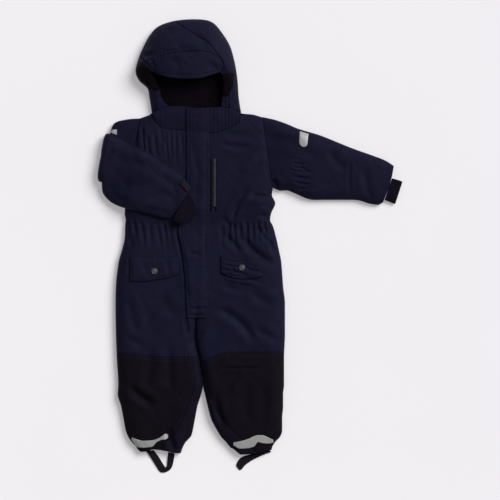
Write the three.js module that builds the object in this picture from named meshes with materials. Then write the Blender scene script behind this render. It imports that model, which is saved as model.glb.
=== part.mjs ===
// A toddler's padded one-piece snowsuit, laid flat on its back and seen from above.
// Millimetres, +Z up, the hood towards +Y. The origin is on the floor, below the middle of the outline.
// Left and right are the wearer's, so the right sleeve, folded back over the chest, lies on the -X side.
// Every piece of cloth is a closed wall between an outer and an inner face, and walls lie on each other.

import * as THREE from 'three';

// Layers, from the floor up
const BACK_TOP = 7;          // the back halves reach from the floor to here
const SEAM_GAP = 0.3;        // clearance between two pieces that are sewn together
const LAY_GAP = 0.6;         // clearance below a piece that lies on another
const EDGE = 1.6;            // thickness of a padded wall where it runs into its seam
const FRONT_BASE = BACK_TOP + SEAM_GAP;
const LOW = FRONT_BASE + EDGE; // where a front wall's top meets its seam
const BACK_SOFT = 13;        // how far in the edges of the back are rounded

// Body, from the shoulders down to the ankles. At each y: the side seams of the wearer's right and left,
// the line where the halves meet and half the gap between the legs, the height of the top, how far in the
// edges are rounded, and how round the side edge and the inner edge are (0 is square, 1 is round).
const BODY = [
  { y: 300, right: -232.4, left: 23.3, middle: -113, gap: 0.15, top: 19, soft: 40, side: 0.4, inner: 0 },
  { y: 277, right: -236.4, left: 26.6, middle: -113, gap: 0.15, top: 20, soft: 40, side: 0.4, inner: 0 },
  { y: 206, right: -248.8, left: 36.9, middle: -113, gap: 0.15, top: 25, soft: 44, side: 0.4, inner: 0 },
  { y: 140, right: -260.4, left: 46.4, middle: -113, gap: 0.15, top: 26, soft: 44, side: 0.7, inner: 0 },
  { y: 125, right: -263, left: 48.6, middle: -113, gap: 0.15, top: 26, soft: 44, side: 0.9, inner: 0 },
  { y: 110, right: -267, left: 47, middle: -113, gap: 0.15, top: 25, soft: 42, side: 1, inner: 0 },
  { y: 92, right: -268, left: 54, middle: -113, gap: 0.15, top: 25, soft: 40, side: 1, inner: 0 },
  { y: 69, right: -269, left: 45, middle: -113, gap: 0.15, top: 23, soft: 38, side: 1, inner: 0 },
  { y: 56, right: -267, left: 43, middle: -113, gap: 0.15, top: 21, soft: 36, side: 1, inner: 0 },
  { y: 43, right: -268, left: 49, middle: -113, gap: 0.15, top: 20, soft: 36, side: 1, inner: 0 },
  { y: 18, right: -269, left: 56, middle: -113, gap: 0.15, top: 22, soft: 38, side: 1, inner: 0 },
  { y: -9, right: -275, left: 62, middle: -113, gap: 0.15, top: 24, soft: 42, side: 1, inner: 0 },
  { y: -34, right: -282, left: 67, middle: -113, gap: 0.15, top: 26, soft: 44, side: 1, inner: 0 },
  { y: -86, right: -288, left: 71, middle: -113, gap: 0.15, top: 28, soft: 46, side: 1, inner: 0 },
  { y: -125, right: -289, left: 75, middle: -114, gap: 0.15, top: 28, soft: 46, side: 1, inner: 0.1 },
  { y: -189, right: -288, left: 75, middle: -118, gap: 0.15, top: 28, soft: 44, side: 1, inner: 0.8 },
  { y: -241, right: -286, left: 73, middle: -110, gap: 0.15, top: 27, soft: 40, side: 1, inner: 1 },
  { y: -299, right: -283, left: 73, middle: -101, gap: 0.15, top: 27, soft: 38, side: 1, inner: 1 },
  { y: -318, right: -284, left: 71, middle: -101, gap: 4, top: 26, soft: 38, side: 1, inner: 1 },
  { y: -344, right: -277, left: 71, middle: -102, gap: 11, top: 25, soft: 37, side: 1, inner: 1 },
  { y: -370, right: -272, left: 69, middle: -101, gap: 17, top: 24, soft: 36, side: 1, inner: 1 },
  { y: -396, right: -267, left: 69, middle: -97, gap: 26, top: 22, soft: 34, side: 1, inner: 1 },
  { y: -409, right: -262, left: 65, middle: -95, gap: 32, top: 21, soft: 32, side: 1, inner: 1 },
  { y: -421, right: -254, left: 54, middle: -95, gap: 43, top: 20, soft: 30, side: 1, inner: 1 },
  { y: -434, right: -243, left: 47, middle: -93, gap: 52, top: 18, soft: 28, side: 1, inner: 1 },
  { y: -450, right: -238, left: 45, middle: -88, gap: 62, top: 17, soft: 26, side: 1, inner: 1 },
];

// The neckline seam, the top edge of the collar and the shoulder line, as heights y over x
const NECKLINE = [
  { x: -237, y: 274 }, { x: -226, y: 277 }, { x: -213, y: 282 }, { x: -206, y: 269 }, { x: -193, y: 256 },
  { x: -183, y: 252 }, { x: -150, y: 249 }, { x: -113, y: 245 }, { x: -77, y: 242 }, { x: -43, y: 254 },
  { x: -32, y: 260 }, { x: -24, y: 267 }, { x: -17, y: 282 }, { x: 0, y: 283 }, { x: 27, y: 276.5 },
];
const COLLAR_TOP = [
  { x: -212, y: 285.5 }, { x: -176, y: 300 }, { x: -150, y: 301 }, { x: -113, y: 297 }, { x: -86, y: 298 },
  { x: -62, y: 299 }, { x: -18, y: 285.5 },
];
// The collar swells above the front by a part of a sine over its width, and its wall thins to the sides
const COLLAR = { swell: 5, turn: 1.9, narrowest: 8, wall: 7, taper: 40, under: 6.2 };
const SHOULDER = [
  { x: -237, y: 274 }, { x: -226, y: 277 }, { x: -213, y: 284 }, { x: -204, y: 340 }, { x: -26, y: 340 },
  { x: -18, y: 285 }, { x: 0, y: 283 }, { x: 27, y: 276.5 },
];

// The knee seam and the ankle hem, as heights y over x
const KNEE_SEAM = [
  { x: -284, y: -230 }, { x: -236, y: -234 }, { x: -193, y: -239 }, { x: -112, y: -239 },
  { x: -101, y: -247 }, { x: -86, y: -241 }, { x: -64, y: -232 }, { x: -39, y: -228 }, { x: 75, y: -228 },
];
const ANKLE_HEM = [
  { x: -243, y: -435 }, { x: -234, y: -442 }, { x: -219, y: -441 }, { x: -209, y: -437 },
  { x: -178, y: -441 }, { x: -163, y: -445 }, { x: -148, y: -445 }, { x: -93, y: -440 },
  { x: -41, y: -434 }, { x: -19, y: -448 }, { x: 10, y: -446 }, { x: 47, y: -438 },
];

// Width of the inner leg gussets on the front, over y
const GUSSET = [
  { y: -225, right: 12, left: 7 }, { y: -318, right: 19, left: 10 }, { y: -370, right: 26, left: 22 },
  { y: -409, right: 38, left: 36 }, { y: -450, right: 48, left: 50 },
];

// Sleeves: chords from the overarm line to the underarm line, with the height of the top
const LEFT_SLEEVE = [
  { overX: 26.9, overY: 277, underX: 48.9, underY: 125, top: 17 },
  { overX: 54, overY: 271, underX: 64, underY: 119, top: 20 },
  { overX: 80, overY: 262, underX: 80, underY: 119, top: 22 },
  { overX: 105, overY: 251.5, underX: 96, underY: 113, top: 23 },
  { overX: 150, overY: 238, underX: 128, underY: 100, top: 23 },
  { overX: 190, overY: 222, underX: 162, underY: 99, top: 22 },
  { overX: 225, overY: 208, underX: 200, underY: 99, top: 22 },
  { overX: 262, overY: 195, underX: 232, underY: 98, top: 21 },
  { overX: 290, overY: 184, underX: 256, underY: 91, top: 19 },
  { overX: 309, overY: 172, underX: 276, underY: 88, top: 17 },
];
const STUB = [
  { overX: -237.3, overY: 274, underX: -263.4, underY: 125 },
  { overX: -264, overY: 272, underX: -283, underY: 127 },
  { overX: -291, overY: 264, underX: -304, underY: 130 },
  { overX: -301, overY: 241, underX: -318.4, underY: 137 },
];
const FOLDED = [
  { overX: -301, overY: 241, underX: -318.4, underY: 137 },
  { overX: -284, overY: 233, underX: -316, underY: 114 },
  { overX: -262, overY: 221, underX: -301, underY: 96 },
  { overX: -245, overY: 213, underX: -283, underY: 86 },
  { overX: -228, overY: 206, underX: -264, underY: 80 },
  { overX: -200, overY: 188, underX: -234, underY: 72 },
  { overX: -172, overY: 170, underX: -206, underY: 64 },
  { overX: -147, overY: 152, underX: -186, underY: 58 },
  { overX: -126, overY: 124, underX: -169, underY: 60 },
];
const STUB_TOP = 15;          // the flattened upper arm below the fold
const SLEEVE_SOFT = 30;       // how far in a sleeve's edges are rounded
const FOLD_OUT = [-0.98, 0.19]; // the way the fold faces on the floor
const FOLD_BULGE = 0.8;       // how far the fold stands out, to its own half height
const INNER_WALL = 5.5;       // the folded sleeve's lower wall
const OUTER_WALL = 9;         // and its upper wall

// Hood: stations round the face opening, from the right neck over the top to the left neck, with the
// opening's edge, the outline and the height of the opening's edge
const HOOD = [
  { inX: -176, inY: 300.5, outX: -211, outY: 286, top: 24 },
  { inX: -190, inY: 318, outX: -216, outY: 318, top: 25 },
  { inX: -194, inY: 338, outX: -220, outY: 338, top: 28 },
  { inX: -204, inY: 357, outX: -238, outY: 355, top: 32 },
  { inX: -211, inY: 372, outX: -246, outY: 376, top: 38 },
  { inX: -203, inY: 370, outX: -239, outY: 404, top: 46 },
  { inX: -190, inY: 366, outX: -228, outY: 430, top: 51 },
  { inX: -178, inY: 362, outX: -213, outY: 456, top: 54 },
  { inX: -163, inY: 360, outX: -193, outY: 474, top: 56 },
  { inX: -140, inY: 358, outX: -155, outY: 485, top: 57 },
  { inX: -112, inY: 359, outX: -108, outY: 487, top: 57 },
  { inX: -97, inY: 361.5, outX: -80, outY: 480, top: 55 },
  { inX: -85, inY: 366, outX: -60, outY: 458, top: 52 },
  { inX: -72, inY: 370, outX: -43, outY: 430, top: 48 },
  { inX: -62, inY: 371, outX: -34, outY: 400, top: 42 },
  { inX: -58, inY: 360, outX: -29, outY: 374, top: 35 },
  { inX: -57, inY: 342, outX: -26, outY: 348, top: 30 },
  { inX: -59, inY: 318, outX: -24, outY: 318, top: 26 },
  { inX: -62, inY: 299.5, outX: -19, outY: 286, top: 24 },
];
const HOOD_WALL = 5;
const HOOD_SWELL = 2.5;      // how far the shell swells between the opening and the outline
const HOOD_END = 0.02;       // how far the sides stop short of the first and last station
const PANEL_GAP = 0.03;      // half the gap between two panels, in stations
// The hood's edge turned out: thickness, and for each side its height above the shell, the stations between
// which it lies, how far the first one leans towards the left neck over the way out, and its rows
const TURNED_EDGE = 1.6;
const RIGHT_TURNED = { lift: 2, start: 1.9, lean: 0, stop: 4.75, rows: 13 };
const LEFT_TURNED = { lift: 1.2, start: 14.4, lean: 0.8, stop: 16.8, rows: 11 };
const HOOD_LEFT_SEAM = [   // station of the seam between the crown and the left side, over the way out
  { out: 0, at: 14 }, { out: 0.3, at: 13.8 }, { out: 0.46, at: 13 }, { out: 0.58, at: 11.4 },
  { out: 0.72, at: 9.9 }, { out: 1, at: 8.8 },
];
const HOOD_RIGHT_SEAM = 5.2; // station of the seam between the crown and the right side
const BRIM_OUT = 0.46;       // the brim's seam, as a share of the way out

// Storm flap over the front zip
const FLAP = [
  { y: 300, right: -137, left: -88 }, { y: 146, right: -137, left: -87 }, { y: 80, right: -144, left: -87 },
  { y: 30, right: -155, left: -88 }, { y: 2, right: -150, left: -88 }, { y: -34, right: -144, left: -88 },
  { y: -73, right: -140, left: -88 }, { y: -155, right: -136, left: -92 },
];
const FLAP_THICK = 3;

// Chest pocket and hip pocket flaps
const CHEST_POCKET = { left: -69.5, right: -83, top: 187, bottom: 76, welt: 3.6, thick: 2.4 };
const HIP_FLAP_THICK = 3;
const RIGHT_HIP_FLAP = [
  { x: -258, top: -25, bottom: -76 }, { x: -230, top: -24, bottom: -77 }, { x: -200, top: -24, bottom: -73 },
  { x: -172, top: -23, bottom: -68 }, { x: -152, top: -22, bottom: -60 },
];
const LEFT_HIP_FLAP = [
  { x: -63, top: -22, bottom: -58 }, { x: -45, top: -24, bottom: -66 }, { x: -17, top: -25, bottom: -71 },
  { x: 8, top: -26, bottom: -70 }, { x: 27, top: -27, bottom: -66 },
];
const SNAP = { radius: 6.6, height: 3.4, rim: 1.1 };
const RIGHT_SNAP = { x: -205, y: -54 };
const LEFT_SNAP = { x: -17, y: -46 };

// Reflective shapes at the ankles: top and bottom edges over x
const RIGHT_ANKLE_MARK = [
  { x: -254, top: -411, bottom: -416 }, { x: -243, top: -415, bottom: -431 },
  { x: -230, top: -418, bottom: -433 }, { x: -211, top: -417, bottom: -431 },
  { x: -199, top: -414, bottom: -420 }, { x: -189, top: -408, bottom: -416 },
  { x: -181, top: -403, bottom: -415 }, { x: -176, top: -405, bottom: -412 },
];
const LEFT_ANKLE_MARK = [
  { x: -36, top: -422, bottom: -428 }, { x: -21, top: -419, bottom: -435 },
  { x: -4, top: -414, bottom: -434 }, { x: 9, top: -408, bottom: -430 },
  { x: 17, top: -406, bottom: -421 }, { x: 26, top: -406, bottom: -423 },
  { x: 39, top: -411, bottom: -424 }, { x: 50, top: -416, bottom: -422 },
];
const MARK_THICK = 0.8;
const MARK_RIM = 0.9;        // thickness at a mark's rim, to its own
const KNEE_LIFT = 0.4;       // the coated cloth's own thickness

// Foot straps: 18 mm webbing, as rows across the band from its outer to its inner edge, with their height
const RIGHT_STRAP = [
  { outX: -223, outY: -441.6, inX: -207, inY: -438.5, z: 4.2 },
  { outX: -213, outY: -456, inX: -197, inY: -452, z: 2.2 },
  { outX: -203, outY: -472, inX: -189, inY: -465, z: 1.4 },
  { outX: -194, outY: -485, inX: -182, inY: -476, z: 1.4 },
  { outX: -184, outY: -487, inX: -181, inY: -475, z: 1.9 },
  { outX: -172, outY: -481, inX: -179, inY: -473, z: 2.3 },
  { outX: -166, outY: -470, inX: -178, inY: -463, z: 2.4 },
  { outX: -161.5, outY: -446.6, inX: -176, inY: -442.8, z: 4.4 },
];
const LEFT_STRAP = [
  { outX: 46, outY: -443, inX: 43, inY: -439.4, z: 4.4 },
  { outX: 36, outY: -446, inX: 30, inY: -442.2, z: 3.8 },
  { outX: 22, outY: -452, inX: 16, inY: -445.3, z: 3 },
  { outX: 4, outY: -461, inX: 2, inY: -447.4, z: 2.2 },
  { outX: -10, outY: -471, inX: -14, inY: -452, z: 1.6 },
  { outX: -21, outY: -482, inX: -22, inY: -457, z: 1.3 },
  { outX: -30, outY: -473, inX: -28, inY: -466, z: 1.3 },
];
const STRAP_THICK = 2;

// Rib knit cuffs and the tab at the right wrist
const LEFT_CUFF = [
  { overX: 304.9, overY: 145.6, underX: 289.3, underY: 98.6, z: 8 },
  { overX: 316, overY: 142.5, underX: 301, underY: 94, z: 6.6 },
  { overX: 327.6, overY: 138, underX: 312, underY: 90, z: 6 },
];
const RIGHT_CUFF = [
  { overX: -132.2, overY: 114.1, underX: -162.6, underY: 65.1, z: 36 },
  { overX: -121, overY: 98, underX: -163, underY: 55, z: 35.2 },
  { overX: -114, overY: 66, underX: -148, underY: 45, z: 34.8 },
];
const CUFF = { wall: 2.4, slit: 1.1, rib: 0.55, ribs: 30 };
const WRIST_TAB = { from: 0.895, to: 0.985, over: 0.01, under: 0.17, thick: 2.2, lift: 0.8 };
const SLEEVE_MARK = { from: 0.34, to: 0.388, start: 0.03, length: 31, round: 0.7, thick: 1.4 };
// The left sleeve's end bows out over its cuff, over the last part of its length
const SLEEVE_END = { from: 0.84, out: [0.93, -0.37] };
const SLEEVE_BOW = [
  { u: 0, out: 0 }, { u: 0.3, out: 5 }, { u: 0.6, out: 7 }, { u: 0.88, out: 7 }, { u: 1, out: 0 },
];
const FOLD_MARK = [
  { x: -299, top: 247, bottom: 243.5 }, { x: -293, top: 250, bottom: 240.5 },
  { x: -286, top: 250, bottom: 238 },
];

// Waist gathers: one wave every 14 mm, deepest at the elastic
const GATHERS = { pitch: 14, depth: 2.3, top: 58, elastic: 42, bottom: -20, columns: 44, clear: 34 };

// Main folds of the front: troughs (depth above 0) and ridges (below 0) along a line, with their width
const FOLDS = [
  { x1: -12, y1: 12, x2: 44, y2: -36, width: 9, depth: 4 },
  { x1: -52, y1: 22, x2: -24, y2: -6, width: 8, depth: 3 },
  { x1: -60, y1: -138, x2: 4, y2: -196, width: 11, depth: 3.4 },
  { x1: -54, y1: 222, x2: -10, y2: 216, width: 9, depth: 2.6 },
  { x1: -6, y1: 120, x2: -32, y2: 66, width: 9, depth: 2.6 },
  { x1: -256, y1: -305, x2: -214, y2: -338, width: 9, depth: 4.5 },
  { x1: -215, y1: -215, x2: -215, y2: -300, width: 9, depth: 2 },
  { x1: -172, y1: -215, x2: -172, y2: -300, width: 9, depth: 2 },
  { x1: -56, y1: -266, x2: 11, y2: -262, width: 7, depth: 2.6 },
  { x1: -172, y1: -396, x2: -165, y2: -440, width: 9, depth: 3 },
  { x1: 22, y1: 96, x2: -30, y2: 104, width: 10, depth: -1.8 },
  { x1: -250, y1: -20, x2: -215, y2: 10, width: 9, depth: 2.4 },
  { x1: -190, y1: -110, x2: -150, y2: -150, width: 12, depth: 2 },
];
// Folds of the sleeves, by share of the length and of the width
const LEFT_SLEEVE_FOLDS = [
  { s1: 0.08, u1: 1, s2: 0.2, u2: 0.45, width: 10, depth: 3.4 },
  { s1: 0.32, u1: 1, s2: 0.36, u2: 0.4, width: 9, depth: 3 },
  { s1: 0.44, u1: 0.95, s2: 0.42, u2: 0.3, width: 9, depth: 2.6 },
  { s1: 0.55, u1: 0.9, s2: 0.6, u2: 0.35, width: 9, depth: 2.2 },
  { s1: 0.78, u1: 0.1, s2: 0.82, u2: 0.6, width: 9, depth: 2 },
];
const FOLDED_FOLDS = [
  { s1: 0.16, u1: 0.15, s2: 0.3, u2: 0.6, width: 10, depth: 2.6 },
  { s1: 0.45, u1: 0.9, s2: 0.55, u2: 0.4, width: 10, depth: 2.4 },
  { s1: 0.72, u1: 0.2, s2: 0.8, u2: 0.75, width: 9, depth: 2 },
];

// Across the knee panel and the gusset
const ACROSS_KNEE = [0, 0.03, 0.1, 0.2, 0.35, 0.52, 0.7, 0.86, 1];
const ACROSS_GUSSET = [0, 0.3, 0.6, 0.85, 1];
// Across a half: sample places from the side seam (0) to the middle (1)
const ACROSS = [0, 0.02, 0.07, 0.15, 0.27, 0.42, 0.57, 0.72, 0.85, 0.94, 1];
const ACROSS_FLAT = [0, 0.1, 0.4, 0.7, 1];
const ACROSS_TUBE = [0, 0.04, 0.12, 0.25, 0.4, 0.6, 0.75, 0.88, 0.96, 1];
const ACROSS_END = [0, 0.3, 0.6, 0.88, 1];
const ACROSS_TUBE_FLAT = [0, 0.05, 0.12, 0.5, 0.88, 0.95, 1];

const clamp = (value, low, high) => Math.min(Math.max(value, low), high);
const lerp = (a, b, share) => a + (b - a) * share;
const smooth = (share) => share * share * (3 - 2 * share);
const range = (count) => Array.from({ length: count + 1 }, (_, i) => i / count);

// Reads a column of a table at a key, straight between its rows and level beyond them.
function read(table, key, at, column) {
  const rising = table[1][key] > table[0][key];
  const rows = rising ? table : [...table].reverse();
  if (at <= rows[0][key]) return rows[0][column];
  for (let i = 1; i < rows.length; i += 1) {
    if (at <= rows[i][key]) {
      const share = (at - rows[i - 1][key]) / (rows[i][key] - rows[i - 1][key]);
      return lerp(rows[i - 1][column], rows[i][column], share);
    }
  }
  return rows[rows.length - 1][column];
}

// Reads a column of a table whose rows are evenly spaced stations, on a smooth curve through them.
function station(table, at, column) {
  const last = table.length - 1;
  const i = clamp(Math.floor(at), 0, last - 1);
  const t = clamp(at - i, 0, 1);
  const value = (k) => table[clamp(k, 0, last)][column];
  const [a, b, c, d] = [value(i - 1), value(i), value(i + 1), value(i + 2)];
  return b + 0.5 * t * (c - a + t * (2 * a - 5 * b + 4 * c - d + t * (3 * (b - c) + d - a)));
}

// How far an edge has risen at a distance from it: a quarter round of a given reach, or part of it.
function roundEdge(distance, reach, amount) {
  const near = 1 - clamp(distance / reach, 0, 1);
  return 1 - amount * (1 - Math.sqrt(Math.max(0, 1 - near ** 2.4)));
}

// Depth of one straight fold at a place, fading over its last fifth.
function foldDepth(x, y, x1, y1, x2, y2, width, depth) {
  const length = Math.hypot(x2 - x1, y2 - y1);
  const along = ((x - x1) * (x2 - x1) + (y - y1) * (y2 - y1)) / length ** 2;
  const aside = ((x - x1) * (y2 - y1) - (y - y1) * (x2 - x1)) / length;
  const fade = clamp((Math.min(along, 1 - along) + 0.2) / 0.4, 0, 1);
  return depth * smooth(fade) * Math.exp(-((aside / width) ** 2));
}

// Waist gathers: waves across the body, fading above and below the elastic and below the storm flap.
function gather(x, y) {
  const above = clamp((GATHERS.top - y) / (GATHERS.top - GATHERS.elastic), 0, 1);
  const below = clamp((y - GATHERS.bottom) / (GATHERS.elastic - GATHERS.bottom), 0, 1);
  const middle = read(BODY, 'y', y, 'middle');
  const clear = clamp((Math.abs(x - middle) - GATHERS.clear) / GATHERS.clear, 0, 1);
  const turn = (x + 3 * Math.sin(x / 23) + 0.12 * (y - GATHERS.elastic)) / GATHERS.pitch;
  return GATHERS.depth * smooth(above) * smooth(below) * clear * Math.cos(2 * Math.PI * turn);
}

// Side seam and inner edge of one half of the body at y.
function seams(half, y) {
  const sign = half === 'right' ? -1 : 1;
  const outer = read(BODY, 'y', y, half) - sign * SEAM_GAP / 2;
  const inner = read(BODY, 'y', y, 'middle') + sign * read(BODY, 'y', y, 'gap');
  return [outer, inner];
}

// Height of the top of the front, legs included: the padded wall's crown, rounded towards its outline,
// less the folds, plus the gathers.
function frontTop(x, y) {
  const half = x < read(BODY, 'y', y, 'middle') ? 'right' : 'left';
  const [outer, inner] = seams(half, y);
  const soft = read(BODY, 'y', y, 'soft');
  const side = roundEdge(Math.abs(x - outer), soft, read(BODY, 'y', y, 'side'));
  const middle = roundEdge(Math.abs(x - inner), soft * 0.7, read(BODY, 'y', y, 'inner'));
  const shoulder = roundEdge(read(SHOULDER, 'x', x, 'y') - y, soft * 0.7, 1);
  const rise = side * middle * shoulder;
  let relief = gather(x, y);
  for (const f of FOLDS) relief -= foldDepth(x, y, f.x1, f.y1, f.x2, f.y2, f.width, f.depth);
  return LOW + (read(BODY, 'y', y, 'top') - LOW + relief) * rise;
}

// Height of the top of the collar above the neckline, and of the front below it.
function chestTop(x, y) {
  const neck = read(NECKLINE, 'x', x, 'y');
  if (y <= neck) return frontTop(x, y);
  const width = Math.max(read(COLLAR_TOP, 'x', x, 'y') - neck, COLLAR.narrowest);
  return frontTop(x, neck - 1) + COLLAR.swell * Math.sin(clamp((y - neck) / width, 0, 1) * COLLAR.turn);
}

// A closed wall. The outer and inner faces are lists of rows of points, each row running the same way; a row
// and its neighbours may hold different numbers of points. Rows are joined into closed rings, and the first
// and last are capped.
function wall(name, material, outer, inner) {
  const points = [];
  const faces = [];
  const keep = (row) => row.map((p) => points.push(p) - 1);
  const join = (a, b, mirrored = false) => {
    let i = 0;
    let j = 0;
    while (i < a.length - 1 || j < b.length - 1) {
      const nextA = i < a.length - 1 ? (i + 1) / (a.length - 1) : 2;
      const nextB = j < b.length - 1 ? (j + 1) / (b.length - 1) : 2;
      if (mirrored ? nextB < nextA : nextB <= nextA) {
        faces.push([a[i], b[j], b[j + 1]]);
        j += 1;
      } else {
        faces.push([a[i], b[j], a[i + 1]]);
        i += 1;
      }
    }
  };
  const outerRows = outer.map(keep);
  const innerRows = inner.map(keep);
  for (let i = 0; i < outerRows.length - 1; i += 1) {
    const [o, n] = [outerRows[i], outerRows[i + 1]];
    const [p, q] = [innerRows[i], innerRows[i + 1]];
    join(o, n);
    join([o[o.length - 1], p[p.length - 1]], [n[n.length - 1], q[q.length - 1]]);
    join([...p].reverse(), [...q].reverse(), true);
    join([p[0], o[0]], [q[0], n[0]]);
  }
  join(innerRows[0], outerRows[0]);
  join(outerRows[outerRows.length - 1], innerRows[innerRows.length - 1]);
  return body(name, material, points, faces);
}

// A mesh from points and triangles, turned so that its faces point out.
function body(name, material, points, faces) {
  let volume = 0;
  for (const [a, b, c] of faces) {
    const [p, q, r] = [points[a], points[b], points[c]];
    volume += p[0] * (q[1] * r[2] - q[2] * r[1]) - p[1] * (q[0] * r[2] - q[2] * r[0])
      + p[2] * (q[0] * r[1] - q[1] * r[0]);
  }
  const index = volume > 0 ? faces.flat() : faces.flatMap(([a, b, c]) => [a, c, b]);
  const geometry = new THREE.BufferGeometry();
  geometry.setAttribute('position', new THREE.Float32BufferAttribute(points.flat(), 3));
  geometry.setIndex(index);
  geometry.computeVertexNormals();
  const mesh = new THREE.Mesh(geometry, material);
  mesh.name = name;
  return mesh;
}

function finish(color, roughness, metalness = 0) {
  return new THREE.MeshStandardMaterial({ color, roughness, metalness });
}
const NAVY = finish(0x1a1c2d, 0.8);
const BLACK = finish(0x181317, 0.85);
const LINING = finish(0x100d12, 0.95);
const KNIT = finish(0x0f0d10, 0.95);
const SILVER = finish(0xc9cac8, 0.45);
const ZIP = finish(0x33342f, 0.6);
const SNAP_METAL = finish(0x4c5058, 0.4, 0.6);
const WEBBING = finish(0x17141a, 0.9);

// A point of one half of the body: a share of the way from its side seam to the middle, on a line whose
// height y is a function of x. Both are settled together.
function place(half, share, lineY, from = seams) {
  let x = 0;
  let y = lineY(-113);
  for (let i = 0; i < 12; i += 1) {
    const [outer, inner] = from(half, y);
    x = lerp(outer, inner, share);
    y = lineY(x);
  }
  return [x, y];
}

// The knee seam's points across a half, shared by the front above it and by the two pieces below it.
function kneeShares(half) {
  const y = KNEE_SEAM[3].y;
  const [outer, inner] = seams(half, y);
  const strip = read(GUSSET, 'y', y, half) / Math.abs(outer - inner);
  const kneeSide = ACROSS_KNEE.map((k) => k * (1 - strip));
  return [...kneeSide, ...ACROSS_GUSSET.slice(1).map((k) => 1 - strip * (1 - k))];
}

// The neckline's points: the shoulder seam's, then the places x that the collar shares.
function collarPlaces(half) {
  const [from, to] = half === 'right' ? [-210.6, -113.15] : [-19.6, -112.85];
  return [0, 0.05, 0.12, 0.2, 0.29, 0.38, 0.5, 0.62, 0.75, 0.88, 1].map((k) => lerp(from, to, k));
}
function neckPlaces(half) {
  const [shoulder] = place(half, 0, (x) => read(NECKLINE, 'x', x, 'y') - SEAM_GAP / 2);
  const [from, ...rest] = collarPlaces(half);
  return [...[0, 0.3, 0.6, 0.9].map((k) => lerp(shoulder, from, k)), from, ...rest];
}

// Lines from the neckline to the knee seam, closer at the waist. Those at the waist carry the gathers.
function frontLines(half) {
  const neckEnd = 222;
  const kneeStart = -205;
  const neckline = (x) => read(NECKLINE, 'x', x, 'y') - SEAM_GAP / 2;
  const neck = [0.2, 0.5, 0.8].map((k) => (x) => lerp(neckline(x), neckEnd, k));
  const level = (heights) => heights.map((y) => () => y);
  const kneeSeam = (x) => read(KNEE_SEAM, 'x', x, 'y') + SEAM_GAP / 2;
  const knee = [0.5, 1].map((k) => (x) => lerp(kneeStart, kneeSeam(x), k));
  const chest = [neckEnd, 196, 172, 148, 128, 112, 96, 80, 66];
  const hips = [-24, -44, -66, -90, -114, -138, -160, -182, kneeStart];
  return [
    ...[...neck, ...level(chest)].map((line) => ({ line, across: ACROSS })),
    ...level([54, 46, 36, 24, 10, -6]).map((line) => ({ line, across: range(GATHERS.columns) })),
    ...level(hips).map((line) => ({ line, across: ACROSS })),
    { line: knee[0], across: ACROSS },
    { line: knee[1], across: kneeShares(half), seam: true },
  ];
}

// Front half, from the neckline to the knee seam.
function front(half) {
  const rows = frontLines(half);
  const neckline = neckPlaces(half).map((x) => [x, read(NECKLINE, 'x', x, 'y') - SEAM_GAP / 2]);
  const points = (line, across) => across.map((share) => place(half, share, line));
  const top = [neckline, ...rows.map(({ line, across }) => points(line, across))];
  const below = rows.map(({ line, across, seam }) => points(line, seam ? across : ACROSS_FLAT));
  const under = [neckline, ...below];
  return wall(
    `front_${half}`,
    NAVY,
    top.map((row) => row.map(([x, y]) => [x, y, frontTop(x, y)])),
    under.map((row) => row.map(([x, y]) => [x, y, FRONT_BASE])),
  );
}

// Lines from the knee seam to the ankle hem, closer together at the hem.
const SHIN_ROWS = [0, 0.12, 0.25, 0.38, 0.5, 0.62, 0.73, 0.82, 0.89, 0.95, 1];
function shinLines() {
  return SHIN_ROWS.map((k) => (x) => lerp(
    read(KNEE_SEAM, 'x', x, 'y') - SEAM_GAP / 2,
    read(ANKLE_HEM, 'x', x, 'y'),
    k,
  ));
}

// One face of a leg piece between its edges: its first row may be divided otherwise, to suit a seam.
function legFace(half, edges, across, height, seam = across) {
  return shinLines().map((line, i) => (i === 0 ? seam : across).map((share) => {
    const [x, y] = place(half, share, line, edges);
    return [x, y, height(x, y)];
  }));
}

// Reinforced knee and shin panel, from the side seam to the gusset, lifted by its own thickness.
function knee(half) {
  const sign = half === 'right' ? -1 : 1;
  const edges = (side, y) => {
    const [outer, inner] = seams(side, y);
    return [outer, inner + sign * (read(GUSSET, 'y', y, half) + SEAM_GAP / 2)];
  };
  const top = legFace(half, edges, ACROSS_KNEE, (x, y) => frontTop(x, y) + KNEE_LIFT);
  const under = legFace(half, edges, ACROSS_FLAT, () => FRONT_BASE, ACROSS_KNEE);
  return wall(`knee_${half}`, BLACK, top, under);
}

// Inner leg gusset, the strip between the knee panel and the inner seam.
function gusset(half) {
  const sign = half === 'right' ? -1 : 1;
  const edges = (side, y) => {
    const inner = seams(side, y)[1];
    return [inner + sign * (read(GUSSET, 'y', y, half) - SEAM_GAP / 2), inner];
  };
  const top = legFace(half, edges, ACROSS_GUSSET, frontTop);
  const under = legFace(half, edges, [0, 0.5, 1], () => FRONT_BASE, ACROSS_GUSSET);
  return wall(`gusset_${half}`, NAVY, top, under);
}

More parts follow.
